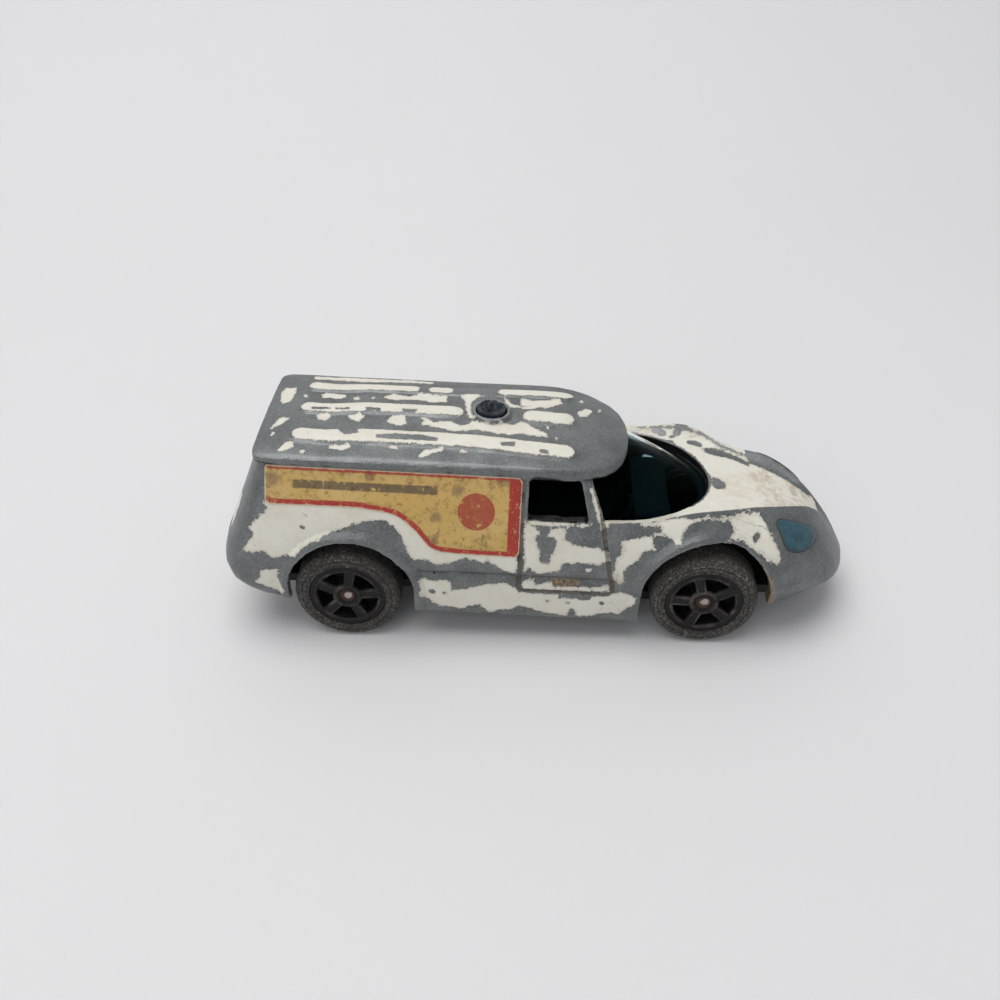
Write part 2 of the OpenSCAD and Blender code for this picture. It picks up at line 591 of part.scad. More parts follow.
// Wrap-round glazing: windscreen and both side panes in one moulding
// Its upper edge follows the roof down towards the pillars
function glass_top(p) =
    let (x = min(p[0], pillar_x) - pillar_lean * (glass_z1 - cowl_z))
    glass_z1 - roof_drop(x) * pow(p[1] / screen_half, 2);
function glass_row(t, d) = [for (p = screen_points(-fit_gap - d))
    let (z = mix(glass_z0, glass_top(p), t), bow = max(0, p[0] - pillar_x) * mix(1, glass_top_bow, t),
         lean = pillar_lean * max(0, z - cowl_z) * ease((p[0] / glass_tail_x + 1) / 2))
    [min(p[0], pillar_x) + bow - lean, p[1] * mix(1, glass_top_w, t), z]];
module windscreen_glazing() color("steelblue") on_body()
    glass_wall([for (i = [0 : 4]) glass_row(i / 4, 0)], [for (i = [0 : 4]) glass_row(i / 4, glass_t)]);
function quad(a, b, c, d, shift = 0) = [[a, b, c], [a, c, d]] + [for (i = [0, 1]) [shift, shift, shift]];
module glass_wall(out, inn) {
    n = len(out[0]);
    m = len(out);
    all = m * n;
    faces = concat(
        [for (i = [0 : m - 2]) for (k = [0 : n - 2]) let (a = i * n + k)
            each concat(quad(a, a + 1, a + n + 1, a + n), quad(a, a + n, a + n + 1, a + 1, all))],
        [for (k = [0 : n - 2]) let (t = (m - 1) * n + k)
            each concat(quad(k, all + k, all + k + 1, k + 1), quad(t, t + 1, all + t + 1, all + t))],
        [for (i = [0 : m - 2]) let (a = i * n, b = i * n + n - 1)
            each concat(quad(a, a + n, all + a + n, all + a), quad(b, all + b, all + b + n, b + n))]);
    polyhedron([for (r = concat(out, inn)) each r], faces);
}

// Headlamp lenses, flush with the wing
module lens() at_lamp() intersection() {
    translate([0, 0, -lens_t]) linear_extrude(reach) lamp_outline(0);
    translate([0, 0, lens_crown - lens_r]) sphere(r = lens_r);
}
module headlamp_lens_left() color("teal") on_body() lens();
module headlamp_lens_right() color("teal") on_body() mirror([0, 1, 0]) lens();

// What is left of the roof lamp, in its boss
module roof_lamp_stub() color("midnightblue") on_body()
    at_roof_lamp(-lamp_seat) cylinder(d = lamp_d, h = lamp_seat + lamp_boss_h + lamp_h);

// Side labels
module label() intersection() {
    side_slab(wheel_in, reach) label_outline();
    van_skin(-glue_gap, -glue_gap - label_t);
}
module side_label_left() color("goldenrod") on_body() label();
module side_label_right() color("goldenrod") on_body() mirror([0, 1, 0]) label();

// Axles with peened heads
module axle() rotate([90, 0, 0]) {
    cylinder(d = axle_d, h = track_w - 2 * hub_recess, center = true);
    both_ends() translate([0, 0, track_w / 2 - hub_recess]) cylinder(d = head_d, h = head_t);
}
module both_ends() {
    children();
    mirror([0, 0, 1]) children();
}
module at_wheel(end, side) on_ground() translate([end * wheelbase / 2, 0, wheel_r])
    rotate([side > 0 ? -90 : 90, 0, 0]) rotate(end > 0 ? front_turn : rear_turn) children();
module front_axle() color("silver") on_ground() translate([wheelbase / 2, 0, wheel_r]) axle();
module rear_axle() color("silver") on_ground() translate([-wheelbase / 2, 0, wheel_r]) axle();

// Wheel and tyre stand on Z = 0 to track_w / 2, with Z pointing out of the toy
module wheel() difference() {
    translate([0, 0, wheel_in]) cylinder(d = rim_d, h = tyre_w - rim_inset);
    translate([0, 0, track_w / 2 - window_depth]) linear_extrude(window_depth) difference() {
        circle(d = window_ring_d);
        circle(d = hub_d);
        for (i = [0 : spoke_count - 1])
            rotate(i * 360 / spoke_count) translate([0, -spoke_w / 2]) square([rim_d, spoke_w]);
    }
    cylinder(d = axle_d + 2 * axle_gap, h = reach);
    translate([0, 0, track_w / 2 - hub_recess - axle_gap]) cylinder(d = head_d + 2 * axle_gap, h = reach);
}
module tyre() rotate_extrude() polygon(tyre_profile());
function tyre_profile() =
    let (r0 = rim_d / 2 + glue_gap, r1 = wheel_r, z0 = wheel_in, z1 = track_w / 2, c = tyre_round)
    concat([[r0, z0]], [for (a = [0 : 22.5 : 90]) [r1 - c + c * sin(a), z0 + c - c * cos(a)]],
           [for (a = [0 : 22.5 : 90]) [r1 - c + c * cos(a), z1 - c + c * sin(a)]], [[r0, z1]]);
module front_wheel_left() color("black") at_wheel(1, 1) wheel();
module front_wheel_right() color("black") at_wheel(1, -1) wheel();
module rear_wheel_left() color("black") at_wheel(-1, 1) wheel();
module rear_wheel_right() color("black") at_wheel(-1, -1) wheel();
module front_tyre_left() color("dimgray") at_wheel(1, 1) tyre();
module front_tyre_right() color("dimgray") at_wheel(1, -1) tyre();
module rear_tyre_left() color("dimgray") at_wheel(-1, 1) tyre();
module rear_tyre_right() color("dimgray") at_wheel(-1, -1) tyre();

body_shell();
base_plate();
base_rivets();
cab_interior();
steering_wheel();
windscreen_glazing();
headlamp_lens_left();
headlamp_lens_right();
roof_lamp_stub();
side_label_left();
side_label_right();
front_axle();
rear_axle();
front_wheel_left();
front_wheel_right();
rear_wheel_left();
rear_wheel_right();
front_tyre_left();
front_tyre_right();
rear_tyre_left();
rear_tyre_right();
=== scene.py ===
"""Looks of a small worn die-cast toy ambulance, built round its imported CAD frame."""

import math

import bmesh
import bpy
import numpy as np
from mathutils import Matrix, Vector
from mathutils.bvhtree import BVHTree


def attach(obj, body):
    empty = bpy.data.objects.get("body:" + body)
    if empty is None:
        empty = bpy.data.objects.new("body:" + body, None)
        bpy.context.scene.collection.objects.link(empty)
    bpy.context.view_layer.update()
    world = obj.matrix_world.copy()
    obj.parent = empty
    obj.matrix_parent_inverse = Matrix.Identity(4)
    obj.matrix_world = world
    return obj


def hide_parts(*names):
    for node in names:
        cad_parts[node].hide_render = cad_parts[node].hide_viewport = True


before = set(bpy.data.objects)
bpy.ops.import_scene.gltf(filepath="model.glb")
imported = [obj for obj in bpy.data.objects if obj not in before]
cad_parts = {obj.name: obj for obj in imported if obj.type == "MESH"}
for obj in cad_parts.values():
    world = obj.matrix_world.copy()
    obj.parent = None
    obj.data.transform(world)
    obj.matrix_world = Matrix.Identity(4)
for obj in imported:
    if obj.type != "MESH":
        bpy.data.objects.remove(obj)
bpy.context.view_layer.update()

bl_info = {
    "name": "Toy ambulance dresser",
    "version": (1, 0, 0),
    "blender": (4, 5, 0),
    "location": "View3D > Sidebar > Ambulance",
    "description": "Builds the worn casting, glazing, labels, wheels and lamps of a die-cast toy ambulance",
    "category": "Object",
}

MM = 0.001

# The casting's own frame, in mm: tilted nose-down, with x from the middle of the wheelbase
RAKE = math.radians(2.6)
MID_X = 1.34827
HALF_W = 11.5
FRONT_X, FRONT_L = 8.0, 28.8
ROOF_HALF, ROOF_Z, ROOF_CROWN = 8.8, 22.0, 1.5
VISOR_X, VISOR_L, VISOR_DROOP = 10.3, 9.6, 1.7
CREST_AT = [0, 0.14, 0.24, 0.33, 0.42, 0.49, 0.56, 0.66, 0.75, 0.83, 0.9, 0.96, 1]
CREST_OUT = [0.87, 0.835, 0.8, 0.765, 0.678, 0.565, 0.487, 0.426, 0.304, 0.157, 0.096, 0.07, 0.043]
AXLES = {"front": 18.55173, "rear": -21.24827}
WHEEL_R, WHEEL_IN, WHEEL_OUT = 6.0, 7.2, 11.4
TURN = {"front": 31, "rear": 8}
LAMP_X = 4.95
LABEL_ENDS, LABEL_TOP, LABEL_CORNER, LABEL_THICK = (-28.5, -1.14), 20.88, 0.45, 0.11
LABEL_X = [-28.5, -22, -18.4, -17, -15.4, -14.2, -13.3, -12.3, -11.7, -11.1, -10, -7.6, -1]
LABEL_LOW = [16.75, 16.85, 16.85, 16.65, 16.45, 16.1, 15.4, 14.6, 13.85, 12.95, 12.4, 12.2, 12.15]
ARCHES, ARCH_R = ((19.607, 7.79), (-19.651, 5.987)), 7.05
WIDEST = 11.88
LONGEST_EDGE = 0.36
PILLAR_X, COWL_L, COWL_Z = 8.6, 11.4, 15.8
GLASS_FOOT, GLASS_TOP, GLASS_LEAN, GLASS_BACK = 15.1, 20.3, 0.42, 4.0
GLASS_GAP, GLASS_THICK = 0.1, 0.8
LENS_AT, LENS_TURN, LENS_TILT = (28.8, 6.6, 13.2), 42, 38
HANDS = ((1, "left"), (-1, "right"))


def to_casting(points):
    """Metres in the model's frame to mm in the casting's frame."""
    x = points[:, 0] / MM + MID_X
    z = points[:, 2] / MM
    c, s = math.cos(RAKE), math.sin(RAKE)
    return np.stack([x * c - z * s, points[:, 1] / MM, x * s + z * c], 1)


def from_casting(points):
    """Mm in the casting's frame to metres in the model's frame."""
    c, s = math.cos(RAKE), math.sin(RAKE)
    x, y, z = points[:, 0], points[:, 1], points[:, 2]
    return np.stack([x * c + z * s - MID_X, y, z * c - x * s], 1) * MM


# Where paint is left and where it is gone, in mm: x and y on the roof and bonnet, seen from above, and
# x and z on the sides, and y and z on the tail. Outlines are lists of corners, strokes are
# (x0, y0, x1, y1, half width).
ROOF_PAINT = [
    [(-26.2, 7.8), (-22, 8.1), (-17.9, 7.9), (-15.1, 8.1), (-12, 7.9), (-12.1, 7.3), (-15.3, 7.3),
     (-19.3, 7), (-22.9, 7.2), (-25.9, 7.1)],
    [(-29.1, 3.6), (-28.8, 4.7), (-27.5, 4.7), (-27.4, 3.3), (-27.5, 1.6), (-28.4, 1), (-28.9, 1.9)],
    [(-26.5, 3.1), (-25.9, 2.9), (-25.8, 2.3), (-26.2, 2.3)],
    [(-24.5, 3.3), (-24, 3.8), (-21.6, 3.4), (-21.4, 2.8), (-22, 2.4), (-24.1, 2.5)],
    [(-20.7, 2.4), (-20.1, 2.9), (-19.8, 2), (-20.4, 1.8)],
    [(-18.6, 2.6), (-18.2, 2.7), (-18.2, 2), (-18.5, 2)],
    [(-17.3, 2.8), (-16.3, 3.8), (-14.5, 3.1), (-13.4, 4), (-10.1, 3.8), (-10, 2.2), (-11.4, 1.9),
     (-12.9, 2.3), (-14.6, 2.3), (-16.1, 2.1), (-17.2, 2.5)],
    [(-8.7, 4), (-7.7, 4.2), (-6.1, 4), (-6.8, 3.5), (-7.3, 2.2), (-7.2, 0.1), (-6.6, -1.5), (-7.3, -1.1),
     (-7.9, 0.5), (-8, 2.4)],
    [(-3.7, 4), (-3.1, 3.1), (-2.8, 2.3), (-1.4, 1.8), (0.2, 2.8), (2.5, 4), (2.6, 2.7), (0.5, 2),
     (-0.7, 1.4), (-2.7, 1.5), (-3.4, 1.3)],
    [(-24.2, -1.5), (-23.8, -1), (-22.5, -1), (-22.6, -1.7), (-23.1, -2.2), (-23.9, -2.1)],
    [(-20.7, -1.3), (-19.3, -1), (-18.8, -1.4), (-19.2, -2.7), (-20.3, -2)],
    [(-16.4, -2.2), (-15.7, -1.1), (-14.3, -1), (-14.1, -2.6), (-14.9, -3), (-16.1, -2.5)],
    [(-12.8, -1.4), (-12.1, -1.2), (-11.2, -2), (-9.4, -1.6), (-8.2, -2.4), (-7.5, -2.2), (-7, -1.4),
     (-6.1, -1.9), (-3.7, -1.8), (-2.5, -1.6), (-1.6, -0.9), (-0.4, -1.8), (0.6, -2.3), (1.3, -2.7),
     (1.1, -2.9), (-1.3, -2.7), (-2.7, -3.2), (-4.1, -3.3), (-6.5, -3), (-8.8, -3.5), (-9.7, -3.2),
     (-11, -2.9), (-12.4, -2.6), (-12.2, -1.8)],
    [(-28.7, -3.9), (-28.3, -2.4), (-27.8, -1.7), (-26.9, -1.9), (-27.5, -3), (-28.2, -3.6), (-28.5, -4.2)],
    [(-28.5, -5.3), (-28.4, -4.3), (-28, -4.6), (-28.2, -5.3)],
    [(-27.2, -7.7), (-26.6, -6.3), (-25.8, -6), (-25.5, -6.9), (-26.3, -7.5), (-26.8, -7.9)],
    [(-24.9, -7.6), (-24.6, -7.3), (-24.1, -7.6), (-24.4, -8)],
    [(-22, -6.3), (-20.6, -6.1), (-19.7, -5.9), (-19.5, -6.6), (-20.4, -7.1), (-21.7, -6.9)],
    [(-15.6, -6.2), (-14.7, -6), (-14.4, -6.5), (-15.2, -6.7)],
    [(-12.4, -7.6), (-11.6, -6.4), (-9.7, -5.9), (-9.7, -6.5), (-10.9, -7), (-11.6, -7.7), (-12.2, -7.8)],
    [(-8.2, -6.2), (-7.6, -6.1), (-6.9, -6.3), (-7.2, -6.6), (-7.9, -6.5)],
    [(-1.9, 3.8), (-0.4, 3.3), (2.8, 4), (3, 3.1), (1.1, 1.8), (-0.4, 2.1), (-1.8, 1.9)],
    [(4.6, 1.9), (5.5, 2.8), (6.5, 2.8), (6.2, 2), (5.5, 1.2), (4.8, 0.9)],
    [(7, 3.2), (7.4, 3.4), (7.3, 2.7), (7, 2.6)],
    [(4.9, 4.6), (5.5, 5), (5.4, 4.1), (4.9, 3.9)],
    [(-1.7, -1.1), (-1.3, -0.8), (-0.3, -1.7), (1.1, -2.2), (1.4, -2.8), (-0.3, -2.9), (-1.7, -2.8)],
    [(1, -1.2), (1.5, -1.2), (1.4, -1.7), (1.1, -1.7)],
    [(2, -2.7), (2.4, -2.7), (2.4, -3.2), (2.1, -3.1)],
]
RIB_PAINT = [
    (-25.2, 4.95, -14.2, 4.95, 0.86), (-11.6, 4.95, -10.3, 4.95, 0.8), (-3.6, 4.95, 3.3, 4.95, 0.86),
    (-25.2, 0, -8.9, 0, 0.9), (-0.6, 0, 3.3, 0, 0.9), (-25.2, -4.95, 3.3, -4.95, 0.94),
]
ROOF_BARE = [
    [(-24.9, -0.1), (-22.8, -0), (-22.7, -0.3), (-24.7, -0.5)],
    [(-22.3, -0.1), (-20.6, -0.1), (-20.6, -0.5), (-22.1, -0.4)],
    [(-18.9, -0.2), (-17.2, -0.3), (-17.2, -0.8), (-18.6, -0.7)],
    [(-14.8, -0.2), (-13.1, -0.2), (-13.2, -0.8), (-14.5, -0.9)],
    [(-21.3, -3.5), (-19.5, -4), (-18.9, -4.7), (-20.3, -4.9), (-21, -4.6)],
    [(-17, -4.9), (-15.2, -4.6), (-12.4, -4.6), (-10.4, -4.9), (-10.5, -5.4), (-13.3, -5.4), (-16, -5.4),
     (-16.9, -5.3)],
    [(-3.8, -4.8), (-2.1, -4.5), (-2.2, -5.2), (-3.5, -5.3)],
    [(0.5, -5.1), (1.4, -5.1), (1.4, -5.6), (0.5, -5.6)],
]
SIDE_PAINT = [
    [(-28.7, 17.1), (-28.3, 16.2), (-29.4, 15.2), (-30.5, 13.8), (-30, 13.3), (-30.5, 12.4), (-31.2, 11.3),
     (-30.1, 11.1), (-28.9, 11.3), (-28.1, 10.6), (-26.5, 10.9), (-25.4, 11), (-24.8, 12), (-23.4, 13),
     (-21.7, 13.8), (-20.3, 14.4), (-19.3, 14.9), (-17.3, 15.5), (-15.6, 15.6), (-14.7, 15), (-13.9, 13.9),
     (-13.5, 12.9), (-13, 11.7), (-12.6, 11.1), (-11.6, 11.4), (-10, 10.8), (-8.6, 11), (-6.9, 11.8),
     (-5.8, 11.5), (-4.9, 11.1), (-4.5, 11.8), (-3.9, 11.1), (-2.9, 10.5), (-1.2, 9.7), (-1.3, 13.6),
     (-10, 14.3), (-13.6, 16.8), (-17.3, 18)],
    [(-29.7, 8.7), (-27.5, 8.9), (-27.7, 7.6), (-27.1, 5.5), (-27.6, 4.6), (-28.8, 5.8), (-30.5, 6.6),
     (-29.7, 7.6)],
    [(-12, 8.3), (-11.2, 8.4), (-10, 8.2), (-9.1, 8.4), (-8.5, 8), (-8.3, 7), (-7.4, 7.1), (-5.7, 7.7),
     (-4.3, 8.1), (-2.6, 8.4), (-1.9, 8.1), (-0.9, 7.3), (0.1, 7.2), (3.6, 7.2), (3.8, 3.9), (1.7, 4.8),
     (0.2, 5.2), (-1, 5.1), (-1.7, 4.5), (-2.7, 4.3), (-4.2, 4), (-5.2, 5), (-6.4, 4.7), (-7.4, 4.1),
     (-8.3, 4.4), (-9.8, 4.5), (-11, 5.4), (-12, 6.1)],
    [(-0.8, 6.9), (1.6, 6.8), (5.7, 6.7), (7.2, 7.1), (9.7, 7.7), (10.4, 8.1), (11.2, 7.6), (12, 7.6),
     (12, 6.5), (11.1, 5.5), (10.3, 4.4), (9.8, 4.8), (8.3, 4.5), (6.9, 4), (5.7, 3.9), (5.4, 4.8),
     (4.8, 4.9), (4.6, 4), (2.5, 4.2), (0.8, 4.7), (-0.7, 5)],
    [(-0.8, 15.9), (-0.1, 16.1), (0.6, 15.5), (1, 15), (0.5, 14.3), (0.8, 13.6), (1.2, 13.1), (1, 12.3),
     (1.2, 11.8), (2.1, 11.6), (2.2, 12.4), (2.6, 12.9), (2.8, 14.2), (2.4, 14.6), (1.8, 14.8), (2, 15.6),
     (3.6, 15.8), (3.8, 15.2), (3.6, 14.5), (4.5, 14), (5.7, 13.8), (7.5, 13.7), (8.5, 13.2), (8.7, 12.2),
     (7.2, 11.7), (5.6, 11.8), (3.7, 11.7), (3.4, 10.9), (2.4, 10.4), (1, 10.1), (-0, 10.9), (-0.5, 10.2)],
    [(-0.6, 8.8), (0.6, 9), (0.8, 8.3), (2.5, 8.8), (2.8, 8.3), (5.6, 8.4), (7.1, 8.3), (8.9, 8.8),
     (9, 7.9), (5.7, 7.8), (2.8, 7.7), (0.1, 7.7), (-0.6, 7.3)],
    [(6.5, 19.3), (6.7, 18.9), (7.3, 17.4), (8.4, 16), (7.8, 16), (7.2, 17.7)],
    [(9.5, 14.8), (10.5, 14.8), (11.8, 15.1), (13.6, 15.7), (13.9, 16.1), (13.6, 16.3), (11.7, 16.2),
     (11.7, 16.5), (13.6, 16.7), (15.7, 17.2), (19.1, 17.1), (21.1, 16.5), (21, 16.3), (18.6, 16.9),
     (17.2, 16.8), (16.6, 16.3), (16.2, 15.5), (16, 14.8), (15.5, 14.6), (15, 15.3), (13.6, 15.5),
     (13, 15), (13.5, 14), (12.2, 13.6), (11.6, 12.5), (10.7, 11.6), (10.4, 10.8), (10.5, 9.6), (10, 8.9),
     (9.5, 9.5), (9.4, 12.3), (9.9, 12.8), (9.8, 14.1)],
    [(21, 16.4), (23, 16.3), (24.7, 16), (25.5, 15.5), (25.8, 15), (26.3, 14.3), (26.9, 13.6),
     (27.3, 12.5), (27, 11.8), (25.9, 12.6), (24.8, 13.6), (23.6, 14.1), (22.9, 14.7), (21, 15.1),
     (21.9, 15.4)],
]
DOOR_LINE = [(-1, 7.9), (-0.6, 7.5), (8.9, 7.5), (9.4, 8), (8, 14.6), (6.6, 22), (-1, 22)]
SIDE_STROKES = [
    (-0.6, 16.05, 6.4, 16.1, 0.2), (6.2, 19.8, 7.6, 15.9, 0.22), (9.5, 9.6, 9.6, 12.6, 0.32), (6.5, 11, 6.7, 11, 0.2),
]
SIDE_BARE = [
    (-10.7, 6.6, -10.5, 6.6, 0.27), (-9.3, 6.5, -9.1, 6.5, 0.2), (2.2, 6.1, 2.3, 6.1, 0.18), (5.8, 6.9, 6.8, 6.9, 0.3),
    (4.5, 6, 4.6, 6, 0.15), (8.3, 6.2, 8.4, 6.2, 0.2), (24.4, 14.6, 24.6, 14.6, 0.3), (5.1, 5, 5.2, 5, 0.15),
    (-24.6, 14.4, -24.5, 14.4, 0.14),
]
BONNET_BARE = [
    [(20.4, 0.6), (21.2, 0.3), (22, -0.4), (21.7, -1.6), (20.7, -1.8), (20.4, -0.7)],
    [(19.9, 5.8), (21.5, 6), (23, 5.4), (25.2, 4.3), (26.2, 3.5), (25.3, 3.5), (23.4, 4.4), (21.4, 4.8),
     (20.4, 5)],
    [(23.6, 5.5), (25.5, 5.3), (28.5, 4.3), (30.9, 3.4), (32.5, 1.5), (32.2, 1.2), (30.1, 2), (27.6, 3.1),
     (26.1, 3.7), (25, 4.9)],
]
FAR_WING_BARE = [
    (14.4, 8.7, 14.7, 8.6, 0.32), (15.2, 8.2, 15.5, 8.2, 0.28), (17.2, 8.7, 17.9, 8.5, 0.35),
    (16.9, 8.1, 17.3, 8.1, 0.28), (15.7, 6.8, 16.3, 6.8, 0.3), (18.6, 6.8, 19.6, 6.5, 0.4), (16.4, 7.7, 16.6, 7.7, 0.2),
]
RUST = [
    (3.1, 8.8, 5.3, 8.8, 0.42), (24.9, 12.4, 26.1, 10.4, 0.3), (26.1, 10.4, 26.8, 7, 0.5), (9.6, 8.6, 9.7, 11, 0.02),
]
TAIL_PAINT = [
    [(-7.6, 14.2), (-6.4, 15.1), (-4.9, 14.6), (-4.6, 13.2), (-3.4, 12.6), (-3.8, 11.2), (-5.3, 11.4),
     (-6.6, 10.6), (-7.9, 11.8)],
    [(0.6, 8.2), (2.2, 9.3), (4.4, 9), (6.3, 9.9), (6.9, 8.6), (5.4, 7.3), (3.1, 7.6), (1.6, 6.9)],
    [(-3.6, 18.6), (-1.2, 18.9), (0.4, 18.3), (2.3, 18.7), (2.6, 17.9), (0.2, 17.2), (-1.9, 17.4), (-3.3, 17)],
    [(6.2, 16), (7.3, 16.3), (7.7, 14.6), (7.2, 13.3), (6.4, 13.8), (6.6, 15)],
]


def strokes(u, v, lines):
    """How far, in mm, each point lies inside the nearest of a few strokes."""
    best = np.full(len(u), -9.0)
    for x0, y0, x1, y1, r in lines:
        dx, dy = x1 - x0, y1 - y0
        t = np.clip(((u - x0) * dx + (v - y0) * dy) / max(dx * dx + dy * dy, 1e-9), 0, 1)
        best = np.maximum(best, r - np.hypot(u - x0 - t * dx, v - y0 - t * dy))
    return best


def inside(u, v, outline):
    """How far, in mm, each point lies inside an outline."""
    near = np.full(len(u), 99.0)
    odd = np.zeros(len(u), bool)
    for (x0, y0), (x1, y1) in zip(outline, outline[1:] + outline[:1]):
        dx, dy = x1 - x0, y1 - y0
        t = np.clip(((u - x0) * dx + (v - y0) * dy) / (dx * dx + dy * dy), 0, 1)
        near = np.minimum(near, np.hypot(u - x0 - t * dx, v - y0 - t * dy))
        crosses = (y0 > v) != (y1 > v)
        odd ^= crosses & (u < x0 + (v - y0) * dx / (dy if dy else 1e-9))
    return np.where(odd, near, -near)


def patches(u, v, outlines):
    """How far, in mm, each point lies inside the nearest of a few outlines."""
    best = np.full(len(u), -9.0)
    for outline in outlines:
        low, high = np.min(outline, 0) - 2, np.max(outline, 0) + 2
        near = (u > low[0]) & (u < high[0]) & (v > low[1]) & (v < high[1])
        best[near] = np.maximum(best[near], inside(u[near], v[near], outline))
    return best


def ease(t):
    t = np.clip(t, 0, 1)
    return t * t * (3 - 2 * t)


def crest_y(x):
    """Distance of the wing's crest from the middle."""
    return HALF_W * np.interp((x - FRONT_X) / FRONT_L, CREST_AT, CREST_OUT)


def settle(p):
    """The roof's middle lies a little lower than a plain arch, and its ribs spread towards the visor."""
    x, y, z = p.T
    on = ease((z - 20.2) / 0.8) * (1 - 0.45 * np.exp(-(((x + LAMP_X) ** 2 + y * y) / 9) ** 2))
    fade = np.clip(1 - (y / ROOF_HALF) ** 2, 0, 1)
    fall = (0.4 * ease((x + 27) / 5) + 0.2 * ease((x + 6) / 9)) * on * np.minimum(1, fade * 2)
    spread = 0.227 * y * ease((x + 10) / 13) * on * fade
    return np.stack([x, y + spread, z - fall], 1)


def arch_lip(p, out):
    """Height of the rolled lip round each wheel arch, with a shallow crease outside it."""
    lift = np.zeros(len(p))
    for x, z in ARCHES:
        beyond = np.hypot(p[:, 0] - x, np.maximum(p[:, 2] - z, 0)) - ARCH_R
        band = 0.14 * np.exp(-((beyond - 0.55) / 0.4) ** 2) - 0.16 * np.exp(-((beyond - 1.35) / 0.35) ** 2)
        lift += np.where(p[:, 2] > 4.5, band, 0)
    return lift * out


def side_fold(p, out):
    """Height of the soft fold along each side between the wheel arches."""
    x, z = p[:, 0], p[:, 2]
    along = ease((x + 13.5) / 2) * ease((11 - x) / 2)
    return (0.2 * np.exp(-((z - 10.1) / 0.5) ** 2) - 0.36 * np.exp(-((z - 9.1) / 0.5) ** 2)) * along * out


# ---------------------------------------------------------------- shader maths
class Value:
    """A shader socket. An expression on it adds Math nodes."""

    def __init__(self, finish, socket):
        self.finish, self.socket = finish, socket

    def math(self, operation, other=None, swap=False, clamp=False):
        pair = [self] if other is None else ([other, self] if swap else [self, other])
        return self.finish.node("ShaderNodeMath", {"operation": operation, "use_clamp": clamp}, dict(enumerate(pair)))

    def __add__(self, other): return self.math("ADD", other)
    def __radd__(self, other): return self.math("ADD", other, True)
    def __sub__(self, other): return self.math("SUBTRACT", other)
    def __rsub__(self, other): return self.math("SUBTRACT", other, True)
    def __mul__(self, other): return self.math("MULTIPLY", other)
    def __rmul__(self, other): return self.math("MULTIPLY", other, True)
    def __truediv__(self, other): return self.math("DIVIDE", other)
    def __neg__(self): return self.math("MULTIPLY", -1)
    def clamp(self): return self.math("ADD", 0, clamp=True)
    def most(self, other): return self.math("MAXIMUM", other)
    def size(self): return self.math("ABSOLUTE")

    def step(self, low, high):
        """0 below low and 1 above high, eased between."""
        return self.finish.node("ShaderNodeMapRange", {"interpolation_type": "SMOOTHSTEP"},
                                {"Value": self, "From Min": low, "From Max": high})


class Finish:
    """A material and the nodes that make it."""

    def __init__(self, name, **constants):
        self.material = bpy.data.materials.new(name)
        self.material.use_nodes = True
        self.tree = self.material.node_tree
        self.shader = self.tree.nodes["Principled BSDF"]
        for socket, value in constants.items():
            self.shader.inputs[socket.replace("_", " ")].default_value = value

    def node(self, kind, settings=None, sockets=None, out=0):
        made = self.tree.nodes.new(kind)
        for key, value in (settings or {}).items():
            setattr(made, key, value)
        for key, value in (sockets or {}).items():
            self.feed(made.inputs[key], value)
        return Value(self, made.outputs[out])

    def feed(self, socket, value):
        if isinstance(value, Value):
            self.tree.links.new(value.socket, socket)
        else:
            socket.default_value = value

    def set(self, **sockets):
        for name, value in sockets.items():
            self.feed(self.shader.inputs[name.replace("_", " ")], value)
        return self.material

    def place(self):
        return self.node("ShaderNodeTexCoord", out="Object")

    def attribute(self, name, out="Fac"):
        return self.node("ShaderNodeAttribute", {"attribute_name": name}, out=out)

    def parts(self, vector):
        split = self.node("ShaderNodeSeparateXYZ", sockets={0: vector}).socket.node
        return [Value(self, s) for s in split.outputs]

    def noise(self, where, scale, detail=3, rough=0.6):
        sockets = {"Vector": where, "Scale": scale, "Detail": detail, "Roughness": rough}
        return self.node("ShaderNodeTexNoise", sockets=sockets)

    def stretch(self, where, scale):
        return self.node("ShaderNodeVectorMath", {"operation": "MULTIPLY"}, {0: where, 1: scale})

    def cells(self, where, scale):
        return self.node("ShaderNodeTexVoronoi", sockets={"Vector": where, "Scale": scale}, out="Distance")

    def reach(self, x, y):
        return (x * x + y * y).math("SQRT")

    def blend(self, share, a, b):
        mixed = self.node("ShaderNodeMix", {"data_type": "RGBA"}, {0: share, 6: rgba(a), 7: rgba(b)})
        return Value(self, mixed.socket.node.outputs[2])

    def bump(self, height, depth, strength=1.0):
        return self.node("ShaderNodeBump", sockets={"Height": height, "Distance": depth, "Strength": strength})


def rgba(colour):
    if isinstance(colour, Value):
        return colour
    return (*colour, 1.0) if len(colour) == 3 else tuple(colour)


def shade(colour, share):
    return tuple(v * share for v in colour)


# ---------------------------------------------------------------- mesh helpers
def grid(rows, wide, start=0, closed=False):
    """Quads between rows of points that follow each other in a list."""
    quads = []
    for i in range(rows - 1):
        for k in range(wide if closed else wide - 1):
            a, b = start + i * wide + k, start + i * wide + (k + 1) % wide
            quads.append((a, b, b + wide, a + wide))
    return quads


def turned(quads):
    """The same quads, facing the other way."""
    return [(a, d, c, b) for a, b, c, d in quads]


def add_piece(name, verts, faces, material, body, replaces=(), smooth=True):
    mesh = bpy.data.meshes.new(name)
    mesh.from_pydata([tuple(v) for v in verts], [], [tuple(f) for f in faces])
    mesh.validate()
    mesh.update()
    return place_piece(name, mesh, material, body, replaces, smooth)


